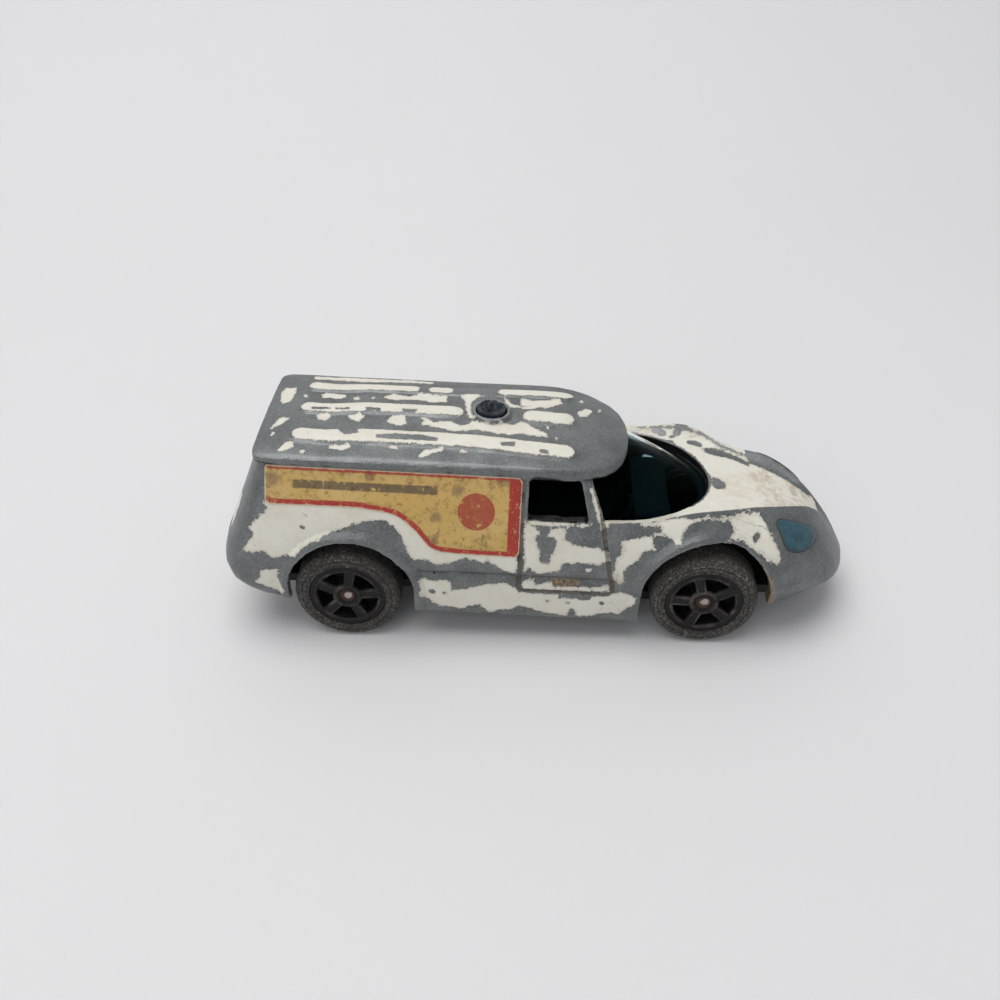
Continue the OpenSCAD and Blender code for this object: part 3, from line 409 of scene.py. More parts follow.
def place_piece(name, mesh, material, body, replaces=(), smooth=True):
    piece = bpy.data.objects.new(name, mesh)
    bpy.context.scene.collection.objects.link(piece)
    mesh.polygons.foreach_set("use_smooth", [smooth] * len(mesh.polygons))
    mesh.materials.clear()
    mesh.materials.append(material)
    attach(piece, body)
    if replaces:
        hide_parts(*replaces)
    return piece


def dress(node, material, bevel=0.0):
    """Gives a CAD node its material, and small rounds on its edges."""
    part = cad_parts[node]
    part.data.materials.clear()
    part.data.materials.append(material)
    if bevel:
        weld = part.modifiers.new("weld", "WELD")
        weld.merge_threshold = 0.00001
        rounds = part.modifiers.new("rounds", "BEVEL")
        rounds.width = bevel * MM
        rounds.segments = 2
        rounds.limit_method = "ANGLE"
        rounds.angle_limit = math.radians(40)
        rounds.harden_normals = False
    return part


def set_attribute(mesh, name, values):
    field = mesh.attributes.new(name, "FLOAT", "POINT")
    field.data.foreach_set("value", np.ascontiguousarray(values, np.float32))


def set_vectors(mesh, name, values):
    field = mesh.attributes.new(name, "FLOAT_VECTOR", "POINT")
    field.data.foreach_set("vector", np.ascontiguousarray(values, np.float32).ravel())


def mesh_arrays(mesh):
    n = len(mesh.vertices)
    co = np.empty(n * 3, np.float32)
    mesh.vertices.foreach_get("co", co)
    nor = np.empty(n * 3, np.float32)
    mesh.vertices.foreach_get("normal", nor)
    edges = np.empty(len(mesh.edges) * 2, np.int32)
    mesh.edges.foreach_get("vertices", edges)
    return co.reshape(-1, 3).astype(float), nor.reshape(-1, 3).astype(float), edges.reshape(-1, 2)


def gather(edges, weights, values, n):
    """Sum over each point's neighbours of weight times value."""
    a, b = edges[:, 0], edges[:, 1]
    total = np.empty((n, values.shape[1]))
    for k in range(values.shape[1]):
        total[:, k] = np.bincount(a, weights * values[b, k], n) + np.bincount(b, weights * values[a, k], n)
    return total, np.bincount(a, weights, n) + np.bincount(b, weights, n)


def blur(edges, values, rounds):
    """A value per point, evened out with its neighbours."""
    for _ in range(rounds):
        total, weight = gather(edges, np.ones(len(edges)), values[:, None], len(values))
        values = (values + total[:, 0]) / (1 + weight)
    return values


def even_normals(nor, edges, rounds, limit):
    """Normals evened out over gentle facets, with edges steeper than limit kept."""
    n = len(nor)
    for _ in range(rounds):
        dot = np.einsum("ij,ij->i", nor[edges[:, 0]], nor[edges[:, 1]])
        w = np.exp(-((1 - dot) / limit) ** 2)
        total, _ = gather(edges, w, nor, n)
        nor = nor + total
        nor /= np.linalg.norm(nor, axis=1, keepdims=True) + 1e-12
    return nor


def refine(mesh, longest):
    """Splits the long edges of the outer faces, so that paint edges stay sharp there."""
    work = bmesh.new()
    work.from_mesh(mesh)
    for _ in range(4):
        far = [e for e in work.edges if e.calc_length() > longest
               and (abs(e.verts[0].co.y) > 8 * MM or e.verts[0].co.z > 14.5 * MM)]
        if not far:
            break
        bmesh.ops.subdivide_edges(work, edges=far, cuts=1)
        bmesh.ops.triangulate(work, faces=[f for f in work.faces if len(f.verts) > 3])
    work.to_mesh(mesh)
    work.free()
    mesh.update()


def revolve(profile, segments, centre, outward):
    """Points (radius, distance along the axle) turned about Y, in mm. The profile is closed on itself."""
    verts, faces, n = [], [], len(profile)
    for i in range(segments):
        a = 2 * math.pi * i / segments
        for r, d in profile:
            verts.append((centre + r * math.cos(a), outward * d, WHEEL_R + r * math.sin(a)))
    for i in range(segments):
        for k in range(n):
            quad = (i * n + k, i * n + (k + 1) % n, (i + 1) % segments * n + (k + 1) % n, (i + 1) % segments * n + k)
            faces.append(quad if outward < 0 else quad[::-1])
    return np.array(verts) * MM, faces


# ---------------------------------------------------------------- settings
def colour(label, about, default):
    return bpy.props.FloatVectorProperty(name=label, description=about, default=default, size=3, min=0, max=1,
                                         subtype="COLOR")


def length(label, about, default):
    return bpy.props.FloatProperty(name=label, description=about, default=default * MM, min=0, unit="LENGTH",
                                   precision=5)


class AmbulanceColours(bpy.types.PropertyGroup):
    enamel: colour("Enamel", "Cream enamel that is left on the casting", (0.72, 0.69, 0.61))
    enamel_stain: colour("Enamel stain", "Brown stain in the enamel", (0.36, 0.25, 0.14))
    zinc: colour("Zinc", "Bare zinc casting", (0.163, 0.172, 0.169))
    # Bright zinc, used both for rubbed wear and for the painted highlight along convex edges.
    zinc_wear_and_sheen: colour("Worn zinc", "Zinc rubbed bright on edges", (0.36, 0.37, 0.38))
    glass: colour("Glazing", "Tinted plastic of the glazing", (0.25, 0.43, 0.48))
    label: colour("Label", "Aged film of the side labels", (0.56, 0.36, 0.10))
    label_red: colour("Label red", "Printed border of the labels", (0.42, 0.035, 0.022))
    tyre: colour("Tyre", "Scuffed tyre plastic", (0.056, 0.052, 0.047))
    wheel: colour("Wheel", "Black plastic of the wheels", (0.006, 0.006, 0.0065))
    steel: colour("Steel", "Axle and rivet steel", (0.42, 0.39, 0.36))
    rust: colour("Rust", "Rust round the axle heads", (0.055, 0.022, 0.013))
    floor: colour("Floor", "Pale floor and backdrop", (0.725, 0.72, 0.72))


class AmbulanceSizes(bpy.types.PropertyGroup):
    casting_cell: length("Casting cell", "Size of the casting's mesh cells", 0.15)
    label_stand: length("Label stand", "How far a label stands off the casting", 0.07)
    tyre_ring: length("Tyre ring", "Depth of the rings moulded in a tyre's side", 0.16)
    paint_film: length("Paint film", "Thickness of the enamel", 0.06)
    edge_round: length("Edge round", "Rounding of the plastic pieces' edges", 0.12)


def colours():
    return bpy.context.scene.ambulance_colours


def sizes():
    return bpy.context.scene.ambulance_sizes


# ---------------------------------------------------------------- finishes
def enamel_finish():
    c = colours()
    f = Finish("chipped_enamel")
    where = f.place()
    paint, grime, cavity = (f.attribute(n) for n in ("paint", "grime", "cavity"))
    broad, rag, fine = f.noise(where, 260, 4), f.noise(where, 1350, 5, 0.65), f.noise(where, 4200, 3)
    edge = paint + (rag - 0.5) * 1.0 + (fine - 0.5) * 0.5
    film = edge.step(-0.03, 0.05)
    zinc = f.blend(broad.step(0.3, 0.7), shade(c.zinc, 0.82), shade(c.zinc, 1.2))
    zinc = f.blend(fine.step(0.52, 0.68) * 0.32, zinc, c.zinc_wear_and_sheen)
    zinc = f.blend(fine.step(0.47, 0.34) * 0.4, zinc, shade(c.zinc, 0.5))
    # Convex edges are lightened toward bright zinc. This stands for rubbed metal and also for a painted highlight along
    # the edges.
    zinc = f.blend((-cavity).step(0.45, 1.0) * 0.35, zinc, c.zinc_wear_and_sheen)
    stain = ((rag * 0.6 + broad * 0.4).step(0.46, 0.66) * grime).clamp()
    cream = f.blend(broad.step(0.35, 0.75) * 0.3, c.enamel, (0.66, 0.58, 0.44))
    cream = f.blend(stain * 0.75, cream, c.enamel_stain)
    specks = f.cells(where, 1900).step(0.16, 0.05) * fine.step(0.5, 0.7) * (grime + 0.4)
    cream = f.blend(specks.clamp() * 0.8, cream, c.enamel_stain)
    rim = film * (1 - edge.step(0.08, 0.3))
    cream = f.blend(rim * 0.35, cream, (0.34, 0.31, 0.26))
    both = f.blend(film, zinc, cream)
    groove = f.attribute("door").size().step(0.26, 0.13)
    dirt = (cavity.step(0.25, 0.8) * (0.4 + rag * 0.5)).most(groove * (0.75 + rag * 0.3))
    both = f.blend(dirt.clamp() * 0.75, both, (0.10, 0.075, 0.05))
    rusty = (f.attribute("rust") * (rag + fine * 0.4).step(0.42, 0.75)).clamp()
    both = f.blend(rusty * 0.85, both, f.blend(fine.step(0.4, 0.65), (0.17, 0.095, 0.045), (0.40, 0.29, 0.17)))
    # Painted shade: the casting's inside faces are bare zinc, but here they are coloured near-black in place of the
    # shade inside the cab and body.
    both = f.blend(f.attribute("inner") * 0.93, both, (0.004, 0.004, 0.004))
    height = film + fine * 0.18 + broad * 0.3 - groove * 2.5
    return f.set(Base_Color=both, Metallic=(1 - film) * 0.55 * (1 - dirt.clamp()),
                 Roughness=0.42 + (fine - 0.5) * 0.3 + dirt * 0.3, Normal=f.bump(height, sizes().paint_film, 0.8))


def plastic_finish(name, colour, dust, rough=0.42, scale=1600, grain=0.02):
    f = Finish(name, Specular_IOR_Level=0.25)
    where = f.place()
    cloud, fine = f.noise(where, scale * 0.25, 4), f.noise(where, scale * 2.5, 4)
    dusty = (cloud.step(0.42, 0.75) * 0.6 + fine.step(0.52, 0.8) * 0.5).clamp()
    return f.set(Base_Color=f.blend(dusty, colour, dust), Roughness=rough + dusty * 0.35,
                 Normal=f.bump(fine, grain * MM, 0.7))


def tyre_finish():
    c = colours()
    f = Finish("scuffed_tyre")
    where = f.place()
    radius = f.attribute("radius")
    cloud, grit, pits = f.noise(where, 320, 4), f.noise(where, 3400, 6, 0.8), f.cells(where, 2300)
    rings = (radius - 4.5).size().step(0.22, 0.06).most((radius - 5.3).size().step(0.2, 0.06))
    dust = (cloud.step(0.36, 0.7) * 0.6 + rings * 0.7).clamp()
    tone = f.blend(dust * grit.step(0.35, 0.6) * 0.75, c.tyre, (0.125, 0.116, 0.104))
    tone = f.blend(grit.step(0.53, 0.6) * (0.35 + dust * 0.6), tone, (0.33, 0.31, 0.28))
    tone = f.blend(grit.step(0.47, 0.4) * 0.65, tone, (0.01, 0.009, 0.008))
    return f.set(Base_Color=tone, Roughness=0.82 + grit * 0.15, Normal=f.bump(grit + pits * 0.5, 0.3 * MM, 1.0))


def steel_finish():
    c = colours()
    f = Finish("tarnished_steel")
    where = f.place()
    cloud, fine = f.noise(where, 900, 4), f.noise(where, 4000, 3)
    rusty = (cloud.step(0.45, 0.62) * 0.8 + fine.step(0.55, 0.75) * 0.4).clamp()
    return f.set(Base_Color=f.blend(rusty, c.steel, c.rust), Metallic=1 - rusty * 0.8,
                 Roughness=0.35 + rusty * 0.45, Normal=f.bump(cloud + fine, 0.03 * MM, 0.8))


def axle_finish(name, centre_x):
    """Bright middle of a peened head, with rust round it."""
    c = colours()
    f = Finish(name)
    where = f.place()
    x, _, z = f.parts(where)
    dx, dz = (x - (centre_x + 0.12) * MM) / MM, (z - (WHEEL_R + 0.1) * MM) / MM
    radius = f.reach(dx, dz)
    cloud, fine = f.noise(where, 1500, 4), f.noise(where, 5000, 3)
    rusty = ((radius + (cloud - 0.5) * 0.6).step(0.34, 0.56)).clamp()
    tone = f.blend(rusty, shade(c.steel, 0.95), c.rust)
    return f.set(Base_Color=tone, Metallic=1 - rusty * 0.85, Roughness=0.28 + rusty * 0.5,
                 Normal=f.bump(cloud + fine, 0.04 * MM, 0.8))


def glazing_finish(name, tint, rough, clear, bend):
    f = Finish(name, Transmission_Weight=clear, IOR=bend)
    where = f.place()
    cloud, fine = f.noise(where, 420, 4), f.noise(where, 3800, 3)
    haze = (cloud.step(0.5, 0.8) * 0.5 + fine.step(0.6, 0.8) * 0.4).clamp()
    return f.set(Base_Color=f.blend(haze * 0.35, tint, (0.30, 0.34, 0.34)), Roughness=rough + haze * 0.22,
                 Normal=f.bump(cloud + fine * 0.2, 0.02 * MM, 0.5))


def lens_finish():
    f = Finish("tinted_lens", IOR=1.46)
    where = f.place()
    rim = f.attribute("rim")
    cloud, fine = f.noise(where, 700, 4), f.noise(where, 4200, 3)
    tone = f.blend(cloud.step(0.35, 0.7), (0.028, 0.072, 0.095), (0.045, 0.11, 0.135))
    tone = f.blend(fine.step(0.58, 0.75) * 0.4, tone, (0.22, 0.27, 0.28))
    dirt = (rim + (cloud - 0.5) * 0.16).step(0.9, 0.98)
    tone = f.blend(dirt * 0.85, tone, (0.05, 0.035, 0.022))
    return f.set(Base_Color=tone, Roughness=0.14 + fine * 0.12 + dirt * 0.5,
                 Normal=f.bump(cloud + fine * 0.2, 0.02 * MM, 0.5))


def label_finish():
    c = colours()
    f = Finish("printed_label")
    where = f.place()
    x, z, above = f.parts(f.attribute("flat", "Vector"))
    edge = f.attribute("edge")
    broad, rag, fine = f.noise(where, 240, 4), f.noise(where, 1300, 5, 0.65), f.noise(where, 5000, 3)
    film = f.blend(broad.step(0.35, 0.7) * 0.7, c.label, (0.62, 0.43, 0.17))
    film = f.blend(rag.step(0.5, 0.7) * 0.7, film, (0.33, 0.18, 0.05))
    specks = f.cells(where, 1500).step(0.2, 0.06) * rag.step(0.45, 0.65)
    film = f.blend(specks * 0.8, film, (0.13, 0.07, 0.03))
    film = f.blend((fine * 0.6 + rag * 0.4).step(0.53, 0.62) * 0.5, film, (0.17, 0.10, 0.04))
    near = edge.step(1.5, 0.1) * 0.6 + x.step(-26.6, -28.2) * 0.5
    near = near + (z - 20.1).size().step(0.8, 0.2) * x.step(-9, -4) * 0.4
    film = f.blend((near * rag.step(0.4, 0.62)).clamp() * 0.7, film, (0.20, 0.11, 0.045))
    # Worn plain shapes where the print was
    stripe = (z - 19.05).size().step(0.52, 0.36) * x.step(-25.6, -25.3) * x.step(-9.9, -10.2)
    stripe = stripe * (rag + fine * 0.4).step(0.52, 0.6)
    film = f.blend(stripe * 0.75, film, (0.035, 0.03, 0.028))
    spot = f.reach(x + 5.9, z - 17).step(2.05, 1.95) * (rag + fine * 0.3).step(0.46, 0.56)
    film = f.blend(spot * 0.85, film, shade(c.label_red, 0.8))
    for smudge_x, smudge_z, smudge_r in ((-7.9, 19.2, 0.85), (-10.2, 16.3, 0.8), (-27.6, 19.4, 0.9)):
        near = (f.reach(x - smudge_x, z - smudge_z) + (rag - 0.5) * 2.2).step(smudge_r, smudge_r - 0.5)
        film = f.blend(near * 0.65, film, (0.19, 0.12, 0.065))
    blots = f.noise(f.stretch(where, (1, 1, 0.7)), 420, 3).step(0.6, 0.7)
    film = f.blend(blots * 0.6, film, (0.14, 0.075, 0.03))
    # Border: wide at the front, thin along the top, pale at the rear
    front = x.step(-2.55, -2.4)
    low = (above + (rag - 0.5) * 0.55).step(0.66, 0.56) * x.step(-28.2, -28.0)
    top = (z + (rag - 0.5) * 0.2).step(20.42, 20.54)
    red = front.most(low).most(top * 0.9) * (rag * 0.7 + fine * 0.5).step(0.42, 0.54)
    film = f.blend(red, film, f.blend(broad, c.label_red, shade(c.label_red, 0.75)))
    pale = (edge + (rag - 0.5) * 0.35).step(0.17, 0.05)
    film = f.blend(pale * 0.8, film, (0.60, 0.52, 0.38))
    return f.set(Base_Color=film, Roughness=0.5 + (fine - 0.5) * 0.3,
                 Normal=f.bump(rag + fine * 0.4, 0.02 * MM, 0.6))


# ---------------------------------------------------------------- pieces
class AMBULANCE_OT_casting(bpy.types.Operator):
    """Builds the cast body with rounded edges, chipped enamel, dirt in its corners and painted shade on its inside
    faces
    """
    bl_idname = "ambulance.casting"
    bl_label = "Cast body"

    def execute(self, context):
        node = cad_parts["body_shell"]
        draft = bpy.data.objects.new("casting_draft", node.data.copy())
        context.scene.collection.objects.link(draft)
        weld = draft.modifiers.new("weld", "WELD")
        weld.merge_threshold = 0.000002
        cells = draft.modifiers.new("cells", "REMESH")
        cells.mode = "VOXEL"
        cells.voxel_size = sizes().casting_cell
        fewer = draft.modifiers.new("fewer", "DECIMATE")
        fewer.ratio = 0.17
        made = draft.evaluated_get(context.evaluated_depsgraph_get())
        mesh = bpy.data.meshes.new_from_object(made)
        bpy.data.objects.remove(draft)
        mesh.name = "cast_body"
        if len(mesh.vertices) < 20000:
            raise RuntimeError("the casting's mesh came out empty")
        refine(mesh, LONGEST_EDGE * MM)
        co, nor, edges = mesh_arrays(mesh)
        soft = even_normals(nor, edges, 4, 0.3)
        for _ in range(2):
            total, weight = gather(edges, np.ones(len(edges)), co, len(co))
            lift = np.einsum("ij,ij->i", total / weight[:, None] - co, soft)
            co = co + soft * (lift * 0.5)[:, None]
        mesh.vertices.foreach_set("co", co.astype(np.float32).ravel())
        mesh.update()
        co, nor, edges = mesh_arrays(mesh)
        self.paint(mesh, co, nor, edges)
        p = to_casting(co)
        smooth = even_normals(nor, edges, 6, 0.2)
        out = ease((smooth[:, 1] * np.sign(p[:, 1]) - 0.35) / 0.3) * (np.abs(p[:, 1]) > 8.5)
        p[:, 1] += np.sign(p[:, 1]) * (arch_lip(p, out) + side_fold(p, out))
        p[:, 1] = np.clip(p[:, 1], -WIDEST, WIDEST)
        mesh.vertices.foreach_set("co", from_casting(settle(p)).astype(np.float32).ravel())
        mesh.update()
        co, nor, edges = mesh_arrays(mesh)
        place_piece("cast_body", mesh, enamel_finish(), "body", ["body_shell"])
        even = even_normals(nor, edges, 20, 0.035)
        mesh.normals_split_custom_set_from_vertices(even.astype(np.float32))
        return {"FINISHED"}

    def paint(self, mesh, co, nor, edges):
        """Stores where enamel is left, where stains gather, which inside faces get painted shade, and how hollow each
        place is.
        """
        n = len(co)
        p = to_casting(co)
        x, y, z = p.T
        flat_n = even_normals(nor, edges, 6, 0.2)
        c, s = math.cos(RAKE), math.sin(RAKE)
        nx, ny = flat_n[:, 0] * c - flat_n[:, 2] * s, flat_n[:, 1]
        nz = flat_n[:, 0] * s + flat_n[:, 2] * c
        side = np.maximum(patches(x, z, SIDE_PAINT), strokes(x, z, SIDE_STROKES))
        side = np.minimum(side, -1.5 * strokes(x, z, SIDE_BARE))
        roof = np.maximum(1.3 * patches(x, y, ROOF_PAINT), 1.5 * strokes(x, y, RIB_PAINT))
        roof = np.minimum(roof, -2 * patches(x, y, ROOF_BARE))
        roof = np.minimum(roof, 2 * np.hypot(x + LAMP_X, y) - 4.4)
        bonnet = np.minimum(33.2 - x - 0.05 * y * y, 9)
        bonnet = np.minimum(bonnet, -patches(x, y, BONNET_BARE))
        bonnet = np.minimum(bonnet, -2.5 * strokes(x, y, FAR_WING_BARE))
        tail = patches(y, z, TAIL_PAINT)
        crest = crest_y(x)
        far_crest = np.minimum(bonnet, 1.5 * (np.abs(y - crest) - 0.4))
        bonnet = np.where((y > 0) & (x > 12) & (x < 24), far_crest, bonnet)
        ahead = x > FRONT_X
        hole = ((x - PILLAR_X) / COWL_L) ** 2 + (y / ROOF_HALF) ** 2
        cowl = (x > 10) & (z > 9) & (z < 17.5)
        on_top = ahead & (np.abs(y) < crest - 0.15) & (nz > 0)
        far_wing = ahead & (y > crest - 0.15) & (nz > 0.3) & (x < 25)
        field = np.where(on_top, bonnet, side)
        field = np.where(far_wing, np.minimum(0.3, -1.5 * strokes(x, y, FAR_WING_BARE)), field)
        field = np.where(cowl & (hole < 1.06) & (y > -6), -0.3, field)
        field = np.where((z > 20.6) & (nz > 0.4) & (x < VISOR_X + 1), roof, field)
        field = np.where((z > 20.4) & (nz <= 0.4), -0.9, field)
        field = np.where((x < -27) & (nx < -0.8) & (np.abs(y) < 8.5), tail, field)
        outer = (np.abs(y) > 9.6) | (z > 14.6) | (nx < -0.5) | (x < -26) | ahead
        field = np.where(outer, field, -1.2)
        field = np.where((nz < -0.85) | (z < 3.8), -1.5, field)
        set_attribute(mesh, "paint", np.clip(field, -2, 2))
        line = inside(x, z, DOOR_LINE)
        on_door = (np.abs(ny) > 0.4) & (z < 20.8) & (np.abs(y) > 7.5)
        set_attribute(mesh, "door", np.where(on_door, np.clip(line, -2, 2), 2))
        grime = 0.15 + 0.85 * ease((x - 20) / 11) * on_top
        grime += 0.35 * on_top * np.exp(-((np.abs(y) - crest) / 0.9) ** 2)
        grime += 0.5 * np.exp(-((x - 9.4) / 1.2) ** 2) * (z < 15)
        grime += 0.5 * np.exp(-((x - 26) / 1.5) ** 2) * (z < 12)
        set_attribute(mesh, "grime", np.clip(grime, 0, 1))
        stained = strokes(x, z, RUST)
        set_attribute(mesh, "rust", np.where(ahead | (z < 9.6), ease(stained / 0.3 + 0.5) * (np.abs(y) > 7), 0))
        # Inside faces that get painted shade: inward walls, undersides, the cab opening and the sill top, later
        # coloured near-black.
        painted_shade_faces = (y * ny < -0.2 * np.abs(y)) & (np.abs(y) > 5) & (z < 20.8) & (nz < 0.15)
        painted_shade_faces |= ((nz < -0.3) & (z > 15)) | (ahead & (nx < -0.3) & (nz < 0.15) & (z > 10) & (np.abs(y) < 8))
        painted_shade_faces |= cowl & (hole < 1.005)
        sill = (x > -1) & (x < 7.5) & (z > 15.7) & (z < 16.6)
        painted_shade_faces |= sill & (nz > 0.5) & (np.abs(y) < np.abs(y[sill]).max() - 0.35)
        set_attribute(mesh, "inner", ease(blur(edges, painted_shade_faces.astype(float), 3) * 2 - 0.5))
        a, b = edges.T
        d = co[b] - co[a]
        square = np.einsum("ij,ij->i", d, d) + (0.1 * MM) ** 2
        bend = np.einsum("ij,ij->i", flat_n[a] - flat_n[b], d) / square * MM
        hollow = np.bincount(edges.ravel(), np.repeat(bend, 2), n) / np.bincount(edges.ravel(), minlength=n)
        set_attribute(mesh, "cavity", np.clip(blur(edges, hollow, 3), -2, 2))


class AMBULANCE_OT_glazing(bpy.types.Operator):
    """Builds the tinted wrap-round glazing as one smooth moulding"""
    bl_idname = "ambulance.glazing"
    bl_label = "Glazing"

    def execute(self, context):
        material = glazing_finish("tinted_glazing", colours().glass, 0.03, 1.0, 1.03)
        rows, tall = [], 13
        for depth in (0.0, GLASS_THICK):
            for i in range(tall):
                rows.append(self.row(i / (tall - 1), depth))
        wide = len(rows[0])
        verts = from_casting(np.concatenate(rows))
        inner = tall * wide
        faces = grid(tall, wide) + turned(grid(tall, wide, inner))
        for k in range(wide - 1):
            t = (tall - 1) * wide + k
            faces += [(k, inner + k, inner + k + 1, k + 1), (t, t + 1, inner + t + 1, inner + t)]
        for i in range(tall - 1):
            a, b = i * wide, i * wide + wide - 1
            faces += [(a, a + wide, inner + a + wide, inner + a), (b, inner + b, inner + b + wide, b + wide)]
        piece = add_piece("tinted_glazing", verts, faces, material, "body",
                          ["windscreen_glazing"])
        piece.data.set_sharp_from_angle(angle=math.radians(50))
        return {"FINISHED"}

    def row(self, t, depth):
        """One level line of the glazing, at share t of its height."""
        long, half = COWL_L - GLASS_GAP - depth, ROOF_HALF - GLASS_GAP - depth
        a = np.radians(np.linspace(90, -90, 49))
        along = np.linspace(-GLASS_BACK, PILLAR_X, 9)[:-1]
        px = np.concatenate([along, PILLAR_X + long * np.cos(a), along[::-1]])
        py = np.concatenate([np.full(8, half), half * np.sin(a), np.full(8, -half)])
        drop_x = np.minimum(px, PILLAR_X) - GLASS_LEAN * (GLASS_TOP - COWL_Z)
        drop = VISOR_DROOP * np.clip((drop_x - VISOR_X + VISOR_L) / VISOR_L, 0, 1) ** 2
        z = GLASS_FOOT + (GLASS_TOP - drop * (py / ROOF_HALF) ** 2 - GLASS_FOOT) * t
        bow = np.maximum(0, px - PILLAR_X) * (1 + (0.14 - 1) * t)
        slant = GLASS_LEAN * np.maximum(0, z - COWL_Z) * ease((px / GLASS_BACK + 1) / 2)
        return np.stack([np.minimum(px, PILLAR_X) + bow - slant, py * (1 + (0.76 - 1) * t), z], 1)


class AMBULANCE_OT_labels(bpy.types.Operator):
    """Lays the two printed labels on the casting's sides"""
    bl_idname = "ambulance.labels"
    bl_label = "Side labels"

    def execute(self, context):
        material = label_finish()
        body = bpy.data.objects["cast_body"]
        tree = BVHTree.FromObject(body, context.evaluated_depsgraph_get())
        for side, hand in HANDS:
            self.lay(tree, side, hand, material)
        return {"FINISHED"}

    def lay(self, tree, side, hand, material):
        xs, shares = np.linspace(*LABEL_ENDS, 120), np.linspace(0, 1, 36)
        low = np.interp(xs, LABEL_X, LABEL_LOW)
        low[2:-2] = (low[:-4] + low[1:-3] + low[2:-2] + low[3:-1] + low[4:]) / 5
        high = np.full(len(xs), LABEL_TOP)
        for end in (xs[0], xs[-1]):
            cut = LABEL_CORNER * np.clip(1 - np.abs(xs - end) / LABEL_CORNER, 0, 1) ** 2
            low, high = low + cut, high - cut
        gx, gz = np.meshgrid(xs, shares, indexing="ij")
        gz = low[:, None] + (high - low)[:, None] * gz
        flat = np.stack([gx.ravel(), np.zeros(gx.size), gz.ravel()], 1)
        top = np.empty((len(flat), 3))
        stand = sizes().label_stand
        for i, start in enumerate(from_casting(flat)):
            outside = Vector((start[0], side * 20 * MM, start[2]))
            hit = tree.ray_cast(outside, Vector((0, -side, 0)))[0]
            if hit is None:
                raise RuntimeError("a label lies off the casting")
            top[i] = hit + Vector((0, side * stand, 0))
        wide, tall = len(xs), len(shares)
        out = top.reshape(wide, tall, 3)[:, :, 1]
        for _ in range(6):
            around = out[:-2, 1:-1] + out[2:, 1:-1] + out[1:-1, :-2] + out[1:-1, 2:]
            out[1:-1, 1:-1] = 0.5 * out[1:-1, 1:-1] + 0.125 * around
        under = top - np.array([0, side * LABEL_THICK * MM, 0])
        verts = np.concatenate([top, under])
        faces = turned(grid(wide, tall))
        ring = [i * tall for i in range(wide)] + [(wide - 1) * tall + k for k in range(1, tall)]
        ring += [i * tall + tall - 1 for i in range(wide - 2, -1, -1)] + [k for k in range(tall - 2, 0, -1)]
        n = len(top)
        faces += [(a, n + a, n + b, b) for a, b in zip(ring, ring[1:] + ring[:1])]
        if side > 0:
            faces = [f[::-1] for f in faces]
        piece = add_piece("printed_label_" + hand, verts, faces, material, "body",
                          ["side_label_" + hand])
        outline = [(flat[i][0], flat[i][2]) for i in ring]
        edge = np.maximum(inside(flat[:, 0], flat[:, 2], outline), 0)
        lower = [(*outline[i], *outline[i + 1], 0.0) for i in range(wide - 1)]
        field = np.stack([flat[:, 0], flat[:, 2], -strokes(flat[:, 0], flat[:, 2], lower)], 1)
        set_vectors(piece.data, "flat", np.concatenate([field, field]))
        set_attribute(piece.data, "edge", np.concatenate([edge, edge * 0]))
        piece.data.set_sharp_from_angle(angle=math.radians(45))


